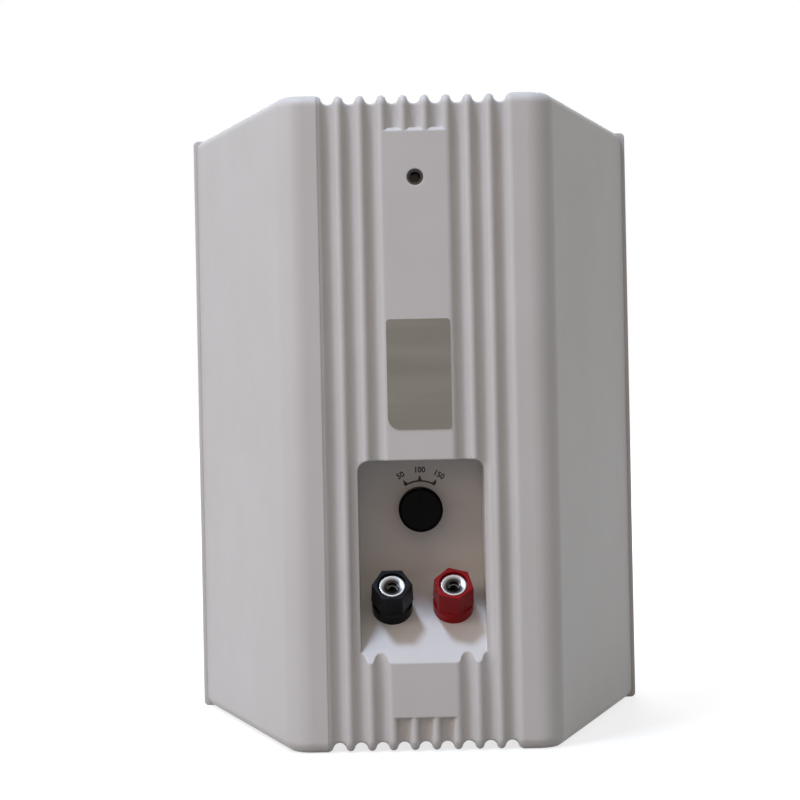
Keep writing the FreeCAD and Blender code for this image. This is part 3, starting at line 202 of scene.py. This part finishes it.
class Look:
    """A material under construction: its principled shader and short ways to add nodes."""

    def __init__(self, name, **sockets):
        self.material = bpy.data.materials.new(name)
        self.material.use_nodes = True
        self.tree = self.material.node_tree
        self.shader = self.tree.nodes["Principled BSDF"]
        for socket, setting in sockets.items():
            self.shader.inputs[socket.replace("_", " ")].default_value = setting
        self.place = self.add("ShaderNodeTexCoord").outputs["Object"]

    def add(self, kind, **settings):
        made = self.tree.nodes.new(kind)
        for name, setting in settings.items():
            setattr(made, name, setting)
        return made

    def join(self, start, end):
        self.tree.links.new(start, end)

    def noise(self, scale, detail=2.0, stretch=None):
        """Noise with a given number of features to the metre, stretched along the axes if asked."""
        made = self.add("ShaderNodeTexNoise")
        made.inputs["Scale"].default_value = scale
        made.inputs["Detail"].default_value = detail
        place = self.place
        if stretch is not None:
            mapping = self.add("ShaderNodeMapping")
            mapping.inputs["Scale"].default_value = stretch
            self.join(self.place, mapping.inputs["Vector"])
            place = mapping.outputs["Vector"]
        self.join(place, made.inputs["Vector"])
        return made.outputs["Fac"]

    def ramp(self, factor, low, high, start=0.3, end=0.7):
        """Colours from low to high over part of the factor's range."""
        made = self.add("ShaderNodeValToRGB")
        first, last = made.color_ramp.elements
        first.position, last.position = start, end
        first.color, last.color = (*low, 1.0), (*high, 1.0)
        self.join(factor, made.inputs["Fac"])
        return made.outputs["Color"]

    def level(self, factor, low, high):
        made = self.add("ShaderNodeMapRange")
        made.inputs["To Min"].default_value = low
        made.inputs["To Max"].default_value = high
        self.join(factor, made.inputs["Value"])
        return made.outputs["Result"]

    def nearness(self, centre, tilt, reach):
        """1 at a centre, falling to 0 at a reach along each axis of a frame tilted about X."""
        mapping = self.add("ShaderNodeMapping", vector_type="TEXTURE")
        mapping.inputs["Location"].default_value = centre
        mapping.inputs["Rotation"].default_value = (tilt, 0.0, 0.0)
        mapping.inputs["Scale"].default_value = reach
        self.join(self.place, mapping.inputs["Vector"])
        made = self.add("ShaderNodeTexGradient", gradient_type="SPHERICAL")
        self.join(mapping.outputs["Vector"], made.inputs["Vector"])
        return made.outputs["Fac"]

    def colour(self, factor, low, high, start=0.3, end=0.7):
        self.join(self.ramp(factor, low, high, start, end), self.shader.inputs["Base Color"])
        return self

    def rough(self, factor, low, high):
        self.join(self.level(factor, low, high), self.shader.inputs["Roughness"])
        return self

    def bump(self, height, strength, distance):
        """Lay a bump over the normal that the shader already has."""
        made = self.add("ShaderNodeBump")
        made.inputs["Strength"].default_value = strength
        made.inputs["Distance"].default_value = distance
        self.join(height, made.inputs["Height"])
        links = self.shader.inputs["Normal"].links
        if links:
            self.join(links[0].from_socket, made.inputs["Normal"])
        self.join(made.outputs["Normal"], self.shader.inputs["Normal"])
        return self

    def soften_edges(self, radius):
        """Round the shading of sharp edges, as a mould leaves them."""
        made = self.add("ShaderNodeBevel", samples=BEVEL_SAMPLES)
        made.inputs["Radius"].default_value = radius
        self.join(made.outputs["Normal"], self.shader.inputs["Normal"])
        return self


def moulded_plastic(name, low, high, roughness, shine, edge=0.5 * MM):
    """Moulded plastic with an eroded-mould grain, slow sink marks and faint uneven colour."""
    look = Look(name, Specular_IOR_Level=shine)
    look.soften_edges(edge)
    look.colour(look.noise(22.0, 4.0), low, high)
    look.rough(look.noise(160.0, 3.0), roughness - 0.06, roughness + 0.06)
    look.bump(look.noise(2400.0, 2.0), 0.10, 0.06 * MM)
    look.bump(look.noise(26.0, 1.0), 0.06, 0.6 * MM)
    return look.material


def gloss_plastic(name, low, high):
    """Glossy thermoplastic with fine handling marks."""
    look = Look(name, Specular_IOR_Level=0.08)
    look.soften_edges(0.5 * MM)
    look.colour(look.noise(90.0, 3.0), low, high)
    look.rough(look.noise(420.0, 4.0), 0.22, 0.36)
    look.bump(look.noise(900.0, 2.0), 0.05, 0.05 * MM)
    return look.material


def metal(name, low, high, roughness, grain=(1.0, 1.0, 1.0)):
    """Plated or turned metal with tool marks along one way."""
    look = Look(name, Metallic=1.0)
    look.soften_edges(0.2 * MM)
    look.colour(look.noise(240.0, 4.0, grain), low, high)
    look.rough(look.noise(900.0, 3.0, grain), roughness - 0.05, roughness + 0.08)
    look.bump(look.noise(1600.0, 2.0, grain), 0.08, 0.03 * MM)
    return look.material


def coated(name, low, high, roughness, scale=1500.0, depth=0.08 * MM):
    """Powder coat, rubber, ceramic or laminate: an even grain at a given scale."""
    look = Look(name, Specular_IOR_Level=0.4)
    look.soften_edges(0.3 * MM)
    look.colour(look.noise(scale / 12.0, 4.0), low, high)
    look.rough(look.noise(scale / 4.0, 3.0), roughness - 0.07, roughness + 0.07)
    look.bump(look.noise(scale, 3.0), 0.2, depth)
    return look.material


def cloth(name, low, high, pitch):
    """Woven cloth: two crossed sets of threads."""
    look = Look(name, Roughness=0.85, Sheen_Weight=0.3)
    threads = []
    for direction in ("X", "Z"):
        wave = look.add("ShaderNodeTexWave", bands_direction=direction)
        wave.inputs["Scale"].default_value = math.pi / (10.0 * pitch)
        wave.inputs["Distortion"].default_value = 0.6
        look.join(look.place, wave.inputs["Vector"])
        threads.append(wave.outputs["Fac"])
    weave = look.add("ShaderNodeMath", operation="MAXIMUM")
    look.join(threads[0], weave.inputs[0])
    look.join(threads[1], weave.inputs[1])
    look.colour(weave.outputs["Value"], low, high, 0.2, 0.9)
    look.bump(weave.outputs["Value"], 0.5, 0.15 * MM)
    return look.material


def winding(name, low, high, pitch):
    """Enamelled wire laid turn by turn, with painted shade in the grooves between turns."""
    look = Look(name, Metallic=0.7, Coat_Weight=0.5, Coat_Roughness=0.2)
    wave = look.add("ShaderNodeTexWave", bands_direction="Y")
    wave.inputs["Scale"].default_value = math.pi / (10.0 * pitch)
    look.join(look.place, wave.inputs["Vector"])
    # Darker into the groove between turns and lighter on each turn's crown: painted shade.
    look.colour(wave.outputs["Fac"], low, high, 0.1, 0.8)
    look.rough(look.noise(600.0), 0.28, 0.4)
    look.bump(wave.outputs["Fac"], 0.6, 0.2 * MM)
    return look.material


def nickel_with_painted_bowl_shade(name, node):
    """Nickel plating, bright on the rim of a post's sleeve, with painted shade and a painted dark
    reflection down in its bowl.
    """
    look = Look(name, Metallic=1.0)
    look.soften_edges(0.2 * MM)
    painted_bowl_shade = look.nearness(centre_of(node), SEAT_TILT, (SLEEVE_RADIUS, SLEEVE_RADIUS, 1.0))
    # Colour runs from bright nickel at the rim to near black in the bowl: painted shade and painted
    # reflection.
    look.colour(painted_bowl_shade, (0.46, 0.445, 0.42), (0.03, 0.027, 0.024), 0.1, 0.4)
    look.rough(look.noise(900.0, 3.0), 0.16, 0.3)
    look.bump(look.noise(1600.0, 2.0), 0.08, 0.03 * MM)
    return look.material


def brushed_foil(name):
    """Grey metallised foil with fine level brushing and slight print wear."""
    look = Look(name, Metallic=0.35, Specular_IOR_Level=0.4)
    look.colour(look.noise(60.0, 5.0, (0.3, 1.0, 2.0)), (0.19, 0.182, 0.155), (0.23, 0.22, 0.19))
    look.rough(look.noise(900.0, 4.0, (0.05, 1.0, 3.0)), 0.36, 0.52)
    look.bump(look.noise(1500.0, 3.0, (0.04, 1.0, 3.0)), 0.1, 0.03 * MM)
    look.bump(look.noise(70.0, 2.0), 0.12, 0.25 * MM)
    return look.material


def make_looks():
    """One material for each slot of the record."""
    along_axis = (1.0, 0.06, 1.0)
    return {
        "white_abs": moulded_plastic(
            "white_abs", (0.605, 0.585, 0.555), (0.635, 0.615, 0.59), 0.5, 0.35, 1.0 * MM
        ),
        "white_steel": coated("white_steel", (0.60, 0.60, 0.59), (0.64, 0.64, 0.63), 0.5),
        "foil": brushed_foil("foil"),
        "black_plastic": gloss_plastic("black_plastic", (0.003, 0.0032, 0.004), (0.006, 0.0064, 0.008)),
        "black_abs": moulded_plastic(
            "black_abs", (0.0015, 0.0015, 0.0015), (0.003, 0.003, 0.003), 0.42, 0.04
        ),
        "red_plastic": gloss_plastic("red_plastic", (0.21, 0.004, 0.006), (0.27, 0.007, 0.009)),
        "nickel": metal("nickel", (0.46, 0.45, 0.43), (0.60, 0.59, 0.57), 0.22),
        "zinc_steel": metal("zinc_steel", (0.42, 0.43, 0.44), (0.58, 0.58, 0.57), 0.34, along_axis),
        "dark_steel": coated("dark_steel", (0.028, 0.027, 0.027), (0.046, 0.044, 0.043), 0.48),
        "brass": metal("brass", (0.58, 0.41, 0.16), (0.74, 0.56, 0.25), 0.28, along_axis),
        "foam": coated("foam", (0.10, 0.10, 0.10), (0.14, 0.14, 0.14), 0.9, 1800.0, 0.2 * MM),
        "rubber": coated("rubber", (0.008, 0.008, 0.008), (0.016, 0.016, 0.016), 0.55, 1100.0),
        "paper_cone": coated(
            "paper_cone", (0.012, 0.012, 0.012), (0.03, 0.03, 0.03), 0.75, 700.0, 0.2 * MM
        ),
        "spider_cloth": cloth("spider_cloth", (0.24, 0.14, 0.05), (0.46, 0.32, 0.14), 0.5 * MM),
        "ferrite": coated("ferrite", (0.02, 0.02, 0.022), (0.045, 0.045, 0.048), 0.6, 900.0),
        "copper_coil": winding("copper_coil", (0.18, 0.05, 0.015), (0.52, 0.19, 0.07), 0.5 * MM),
        "silk_dome": cloth("silk_dome", (0.006, 0.006, 0.008), (0.02, 0.02, 0.024), 0.3 * MM),
        "board": coated("board", (0.12, 0.075, 0.03), (0.17, 0.11, 0.045), 0.5, 500.0),
        "capacitor_film": gloss_plastic("capacitor_film", (0.012, 0.018, 0.06), (0.02, 0.028, 0.085)),
        "cement": coated("cement", (0.52, 0.51, 0.47), (0.62, 0.61, 0.57), 0.85, 800.0, 0.2 * MM),
        "lamination": metal("lamination", (0.10, 0.10, 0.11), (0.19, 0.19, 0.20), 0.5, (1.0, 1.0, 14.0)),
    }


def ink_look():
    look = Look("scale_ink", Specular_IOR_Level=0.3)
    look.colour(look.noise(700.0, 3.0), (0.02, 0.018, 0.016), (0.045, 0.04, 0.035))
    look.rough(look.noise(900.0), 0.5, 0.7)
    return look.material


def turned_profile(drawing, profile, centre, first=0.0, last=2 * math.pi, steps=TURN_STEPS):
    """Turn (radius, y) points about the line through centre along Y; a full turn closes on itself."""
    full = math.isclose(last - first, 2 * math.pi)
    rows = []
    for radius, y in profile:
        if radius == 0.0:
            rows.append([drawing.verts.new((centre.x, y, centre.z))])
            continue
        row = []
        for step in range(steps if full else steps + 1):
            angle = first + (last - first) * step / steps
            spot = (centre.x + radius * math.sin(angle), y, centre.z + radius * math.cos(angle))
            row.append(drawing.verts.new(spot))
        rows.append(row)
    for low, high in zip(rows, rows[1:]):
        if len(low) > 1 or len(high) > 1:
            join_rows(drawing, low, high, full)


def join_rows(drawing, low, high, full):
    count = max(len(low), len(high))
    for step in range(count if full else count - 1):
        following = (step + 1) % count
        corners = []
        for row, places in ((low, (step, following)), (high, (following, step))):
            for place in places:
                corner = row[min(place, len(row) - 1)]
                if corner not in corners:
                    corners.append(corner)
        drawing.faces.new(corners)


def arc_points(radius_from, radius_to, y_base, height, steps):
    """Half an ellipse between two radii, standing out towards -Y."""
    middle, half = (radius_from + radius_to) / 2, (radius_from - radius_to) / 2
    points = []
    for step in range(steps + 1):
        angle = math.pi * step / steps
        points.append((middle + half * math.cos(angle), y_base - height * math.sin(angle)))
    return points


def woofer_surround(looks):
    """The rubber half-roll, in sectors that reach from the basket to the cone."""
    low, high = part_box("woofer_surround")
    cone_low, cone_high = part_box("woofer_cone")
    sheet = ROLL_SHEET
    rim = (high.x - low.x) / 2
    cone_rim = (cone_high.x - cone_low.x) / 2
    roll_outer = rim - ROLL_RIM
    roll_inner = cone_rim - ROLL_OVERLAP
    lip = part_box("woofer_basket")[0].y
    crown = lip - sheet - low.y
    outer = [(rim, lip), (rim, lip - sheet)]
    outer += arc_points(roll_outer, roll_inner + sheet / 2, lip - sheet, crown, ROLL_STEPS)
    outer += [(cone_rim - ROLL_GLUE, lip)]
    inner = [(cone_rim - ROLL_GLUE, cone_low.y)]
    inner += arc_points(roll_outer - sheet, roll_inner + 1.5 * sheet, lip, crown - sheet, ROLL_STEPS)[::-1]
    flexing_ring("surround_roll", "woofer_surround", outer + inner, "rubber", looks)


def woofer_spider(looks):
    """The corrugated cloth ring that centres the voice coil, in sectors."""
    low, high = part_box("woofer_spider")
    centre = centre_of("woofer_spider")
    outer = (high.x - low.x) / 2
    inner = min(
        math.hypot(point.co.x - centre.x, point.co.z - centre.z)
        for point in NODES["woofer_spider"].data.vertices
    )
    wave_from = outer - SPIDER_RIM
    wave_to = inner + SPIDER_NECK
    wave_steps = SPIDER_WAVES * SPIDER_WAVE_STEPS
    spots = [(outer, 0.0)]
    for step in range(wave_steps + 1):
        along = step / wave_steps
        spots.append((
            wave_from + (wave_to - wave_from) * along,
            SPIDER_WAVE * math.sin(2 * math.pi * SPIDER_WAVES * along),
        ))
    spots.append((inner, 0.0))
    front = [(radius, centre.y + lift - SPIDER_SHEET / 2) for radius, lift in spots]
    back = [(radius, centre.y + lift + SPIDER_SHEET / 2) for radius, lift in reversed(spots)]
    flexing_ring("spider_web", "woofer_spider", front + back, "spider_cloth", looks)


def flexing_ring(name, node, outline, slot, looks):
    """A turned ring, drawn from its outline in sectors of a turn."""
    centre = centre_of(node)
    closed = outline + outline[:1]
    sector = 2 * math.pi / RING_SECTORS
    for number in range(RING_SECTORS):
        middle = number * sector
        first, last = middle - sector / 2, middle + sector / 2
        piece = mesh_from(
            f"{name}_{number + 1}",
            lambda drawing: turned_profile(drawing, closed, centre, first, last, SECTOR_STEPS),
        )
        bmesh_weld(piece)
        piece.data.shade_smooth()
        dress(piece, looks[slot])
        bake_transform(piece)
        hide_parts(node)


def bmesh_weld(obj):
    """Join points that lie on each other and turn the faces outward."""
    drawing = bmesh.new()
    drawing.from_mesh(obj.data)
    bmesh.ops.remove_doubles(drawing, verts=drawing.verts, dist=WELD_REACH)
    bmesh.ops.recalc_face_normals(drawing, faces=drawing.faces)
    drawing.to_mesh(obj.data)
    drawing.free()


def dome(name, node, edge_radius, base, sheet, rim=()):
    """A round cap over a node's crown, with its own thickness, and an optional rim outside it."""
    low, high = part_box(node)
    height = base - low.y
    outer, inner = [], []
    for step in range(DOME_STEPS + 1):
        angle = math.pi / 2 * step / DOME_STEPS
        radius, rise = math.cos(angle), math.sin(angle)
        if step == DOME_STEPS:
            radius = 0.0
        outer.append((edge_radius * radius, base - height * rise))
        inner.append(((edge_radius - sheet) * radius, base - (height - sheet) * rise))
    profile = list(rim) + outer + inner[::-1]
    profile.append(profile[0])
    piece = mesh_from(name, lambda drawing: turned_profile(drawing, profile, centre_of(node)))
    bmesh_weld(piece)
    piece.data.shade_smooth()
    return piece


def driver_caps(looks):
    """Smooth dust cap and tweeter dome in place of their plain solids."""
    low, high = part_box("woofer_dust_cap")
    cap = dome("dust_cap_dome", "woofer_dust_cap", (high.x - low.x) / 2, high.y, DUST_CAP_SHEET)
    add_piece(cap, looks["paper_cone"], "woofer_moving")
    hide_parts("woofer_dust_cap")
    low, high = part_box("tweeter_dome")
    sheet = FILM_SHEET
    rim_radius = (high.x - low.x) / 2
    edge = rim_radius - FILM_RING
    rim = [(edge - sheet, high.y), (rim_radius, high.y), (rim_radius, high.y - sheet)]
    film = dome("tweeter_film", "tweeter_dome", edge, high.y - sheet, sheet, rim)
    add_piece(film, looks["silk_dome"], "cabinet")
    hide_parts("tweeter_dome")


def knob_scale(looks):
    """A printed arc with three ticks and plain numbers on the pocket wall above the knob."""
    centre = centre_of("selector_knob")
    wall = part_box("selector_washer")[0].y
    ink = ink_look()

    def spot(radius, angle, lift):
        x = centre.x - radius * math.sin(angle)
        z = centre.z + radius * math.cos(angle)
        return Vector((x, wall + lift, z))

    def slab(drawing, corners):
        """A thin solid under a flat outline."""
        top = [drawing.verts.new(spot(radius, angle, INK_THICK)) for radius, angle in corners]
        bottom = [drawing.verts.new(spot(radius, angle, 0.0)) for radius, angle in corners]
        drawing.faces.new(top)
        drawing.faces.new(bottom[::-1])
        for place in range(len(corners)):
            following = (place + 1) % len(corners)
            drawing.faces.new((top[place], bottom[place], bottom[following], top[following]))

    def arc(drawing):
        angles = [SCALE_SPAN * (2 * step / ARC_STEPS - 1) for step in range(ARC_STEPS + 1)]
        outer = [(SCALE_RADIUS + SCALE_LINE / 2, angle) for angle in angles]
        inner = [(SCALE_RADIUS - SCALE_LINE / 2, angle) for angle in reversed(angles)]
        slab(drawing, outer + inner)

    add_piece(mesh_from("scale_arc", arc), ink, "cabinet")
    for number, step in enumerate((-1, 0, 1), start=1):
        angle = step * SCALE_STEP
        base = SCALE_RADIUS + SCALE_LINE / 2
        half = TICK_HALF / base

        def tick(drawing):
            slab(drawing, [(base, angle - half), (base, angle + half), (base + TICK_HEIGHT, angle)])

        add_piece(mesh_from(f"scale_tick_{number}", tick), ink, "cabinet")
        printed = number_print(number, spot(NUMBER_RADIUS, angle, 0.0), angle)
        add_piece(printed, ink, "cabinet")


def number_print(number, place, angle):
    """A plain number, set upright on the scale's own radius and readable from behind the speaker."""
    name = f"scale_number_{number}"
    words = bpy.data.curves.new(name, "FONT")
    words.body = str(NUMBER_STEP * number)
    words.size = NUMBER_SIZE
    words.align_x = "CENTER"
    words.align_y = "CENTER"
    words.extrude = INK_THICK
    words.offset = NUMBER_WEIGHT
    written = bpy.data.objects.new(name + "_text", words)
    bpy.context.scene.collection.objects.link(written)
    upright = Matrix.Rotation(math.pi, 4, "Z") @ Matrix.Rotation(math.pi / 2, 4, "X")
    lean = Matrix.Rotation(-angle, 4, "Y")
    mesh = bpy.data.meshes.new_from_object(written)
    bpy.data.objects.remove(written)
    mesh.transform(Matrix.Translation(place) @ lean @ upright)
    return new_object(name, mesh)


def insert_thread(looks):
    """The thread that shows in the mouth of the bracket insert."""
    low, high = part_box("bracket_insert")
    centre = centre_of("bracket_insert")
    turns = int((high.y - low.y) / THREAD_PITCH) - 1
    path = bpy.data.curves.new("insert_thread", "CURVE")
    path.dimensions = "3D"
    path.bevel_depth = THREAD_RIDGE
    path.bevel_resolution = 1
    line = path.splines.new("POLY")
    line.points.add(turns * THREAD_STEPS)
    for number, point in enumerate(line.points):
        angle = 2 * math.pi * number / THREAD_STEPS
        x = centre.x + THREAD_RADIUS * math.cos(angle)
        y = high.y - THREAD_PITCH / 2 - THREAD_PITCH * number / THREAD_STEPS
        z = centre.z + THREAD_RADIUS * math.sin(angle)
        point.co = (x, y, z, 1.0)
    holder = bpy.data.objects.new("insert_thread_path", path)
    bpy.context.scene.collection.objects.link(holder)
    mesh = bpy.data.meshes.new_from_object(holder)
    bpy.data.objects.remove(holder)
    mesh.name = "insert_thread"
    piece = new_object("insert_thread", mesh)
    piece.data.shade_smooth()
    add_piece(piece, looks["dark_steel"], "cabinet")


def screw_heads(looks):
    """The screws again, each with a cross recess cut into its head."""
    for node in SCREW_NODES:
        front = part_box(node)[0].y
        spots = screw_spots(node)
        cutter = mesh_from(node + "_cutter", lambda drawing: cross_pegs(drawing, spots, front))
        whole = NODES[node].data.copy()
        whole.transform(NODES[node].matrix_world)
        piece = new_object(node + "_driven", whole)
        bmesh_weld(piece)
        cutting = piece.modifiers.new("recess", "BOOLEAN")
        cutting.operation = "DIFFERENCE"
        cutting.object = cutter
        bpy.context.view_layer.update()
        cut_piece = piece.evaluated_get(bpy.context.evaluated_depsgraph_get())
        driven = bpy.data.meshes.new_from_object(cut_piece)
        piece.modifiers.clear()
        piece.data = driven
        bpy.data.objects.remove(cutter)
        shade_smooth(piece)
        add_piece(piece, looks[SLOT_OF[node]], "cabinet")
        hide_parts(node)


def screw_spots(node):
    """Where the axes of a node's screws stand, as (x, z), from the spread of its points."""
    groups = []
    for point in NODES[node].data.vertices:
        place = NODES[node].matrix_world @ point.co
        near = [group for group in groups if (group[0].xz - place.xz).length < SCREW_APART]
        if near:
            near[0].append(place)
        else:
            groups.append([place])
    spots = []
    for group in groups:
        across = [place.x for place in group]
        upward = [place.z for place in group]
        spots.append(((min(across) + max(across)) / 2, (min(upward) + max(upward)) / 2))
    return spots


def cross_pegs(drawing, spots, front):
    """Tapered crosses that reach into the heads from just before their faces."""
    arm, half = RECESS_ARM, RECESS_HALF
    quarter = [(half, half), (half, arm), (-half, arm)]
    outline = []
    for cosine, sine in ((1, 0), (0, 1), (-1, 0), (0, -1)):
        outline += [(x * cosine - z * sine, x * sine + z * cosine) for x, z in quarter]
    levels = ((front - RECESS_DEPTH / 4, 1.0), (front, 1.0), (front + RECESS_DEPTH, RECESS_TAPER))
    for centre_x, centre_z in spots:
        rows = []
        for y, scale in levels:
            places = [(centre_x + x * scale, y, centre_z + z * scale) for x, z in outline]
            rows.append([drawing.verts.new(place) for place in places])
        for low, high in zip(rows, rows[1:]):
            join_rows(drawing, low, high, True)
        drawing.faces.new(rows[0])
        drawing.faces.new(rows[-1][::-1])


def studio():
    """White room: a floor that keeps the shadow, a cool key from above, and warmer lamps."""
    scene = bpy.context.scene
    scene.view_settings.view_transform = "Standard"
    world = bpy.data.worlds.new("studio")
    scene.world = world
    world.use_nodes = True
    tree = world.node_tree
    background = tree.nodes["Background"]
    background.inputs["Color"].default_value = WHITE
    background.inputs["Strength"].default_value = WORLD_STRENGTH
    seen = tree.nodes.new("ShaderNodeBackground")
    seen.inputs["Color"].default_value = WHITE
    mix = tree.nodes.new("ShaderNodeMixShader")
    tree.links.new(white_rays(tree), mix.inputs["Fac"])
    tree.links.new(background.outputs["Background"], mix.inputs[1])
    tree.links.new(seen.outputs["Background"], mix.inputs[2])
    tree.links.new(mix.outputs["Shader"], tree.nodes["World Output"].inputs["Surface"])

    def plane(drawing):
        bmesh.ops.create_grid(drawing, x_segments=1, y_segments=1, size=FLOOR_HALF)

    floor = mesh_from("floor", plane)
    dress(floor, floor_look())
    centre = (Vector(CAD_BOX[0]) + Vector(CAD_BOX[1])) / 2
    for name, place, size, power, colour in LAMPS:
        area_light(name, centre, Vector(place), size, power, colour)


def white_rays(tree):
    """1 for rays from the camera, mirrors and glass, which see a white room."""
    path = tree.nodes.new("ShaderNodeLightPath")
    total = path.outputs["Is Camera Ray"]
    for name in ("Is Glossy Ray", "Is Transmission Ray"):
        either = tree.nodes.new("ShaderNodeMath")
        either.operation = "MAXIMUM"
        tree.links.new(total, either.inputs[0])
        tree.links.new(path.outputs[name], either.inputs[1])
        total = either.outputs["Value"]
    return total


def floor_look():
    """White to the camera far off, a little less near the speaker, so that its shadow shows."""
    look = Look("studio_floor", Roughness=FLOOR_ROUGHNESS, Base_Color=FLOOR_COLOUR, Emission_Color=WHITE)
    beside = look.nearness((0.0, 0.0, 0.0), 0.0, (FLOOR_FADE, FLOOR_FADE, FLOOR_FADE))
    strength = look.add("ShaderNodeMath", operation="MULTIPLY")
    look.join(white_rays(look.tree), strength.inputs[0])
    look.join(look.level(beside, FLOOR_FAR, FLOOR_NEAR), strength.inputs[1])
    look.join(strength.outputs["Value"], look.shader.inputs["Emission Strength"])
    return look.material


def area_light(name, target, place, size, power, colour):
    lamp = bpy.data.lights.new(name, "AREA")
    lamp.size = size
    lamp.energy = power
    lamp.color = colour
    holder = bpy.data.objects.new(name, lamp)
    bpy.context.scene.collection.objects.link(holder)
    holder.location = target + place
    holder.rotation_euler = (-place).to_track_quat("-Z", "Y").to_euler()


def camera():
    """Behind the speaker at the photograph's height, looking level along -Y."""
    lens = bpy.data.cameras.new("camera")
    lens.lens = CAMERA_LENS
    lens.sensor_width = SENSOR_WIDTH
    lens.sensor_fit = "HORIZONTAL"
    lens.shift_x = CAMERA_SHIFT_X
    lens.clip_start = SIGHT_FROM
    lens.clip_end = SIGHT_TO
    holder = bpy.data.objects.new("camera", lens)
    bpy.context.scene.collection.objects.link(holder)
    level = Matrix.Rotation(math.pi, 4, "Z") @ Matrix.Rotation(math.pi / 2, 4, "X")
    holder.matrix_world = Matrix.Translation(CAMERA_PLACE) @ level @ Matrix.Rotation(CAMERA_ROLL, 4, "Z")
    bpy.context.scene.camera = holder


def main():
    looks = make_looks()
    for name, obj in NODES.items():
        dress(obj, looks[SLOT_OF[name]])
        shade_smooth(obj)
    woofer_surround(looks)
    woofer_spider(looks)
    driver_caps(looks)
    knob_scale(looks)
    insert_thread(looks)
    screw_heads(looks)
    # The sleeves get nickel with painted shade and painted reflection down in their bowls.
    for node in ("black_sleeve", "red_sleeve"):
        dress(NODES[node], nickel_with_painted_bowl_shade(node + "_nickel", node))
    studio()
    camera()


main()
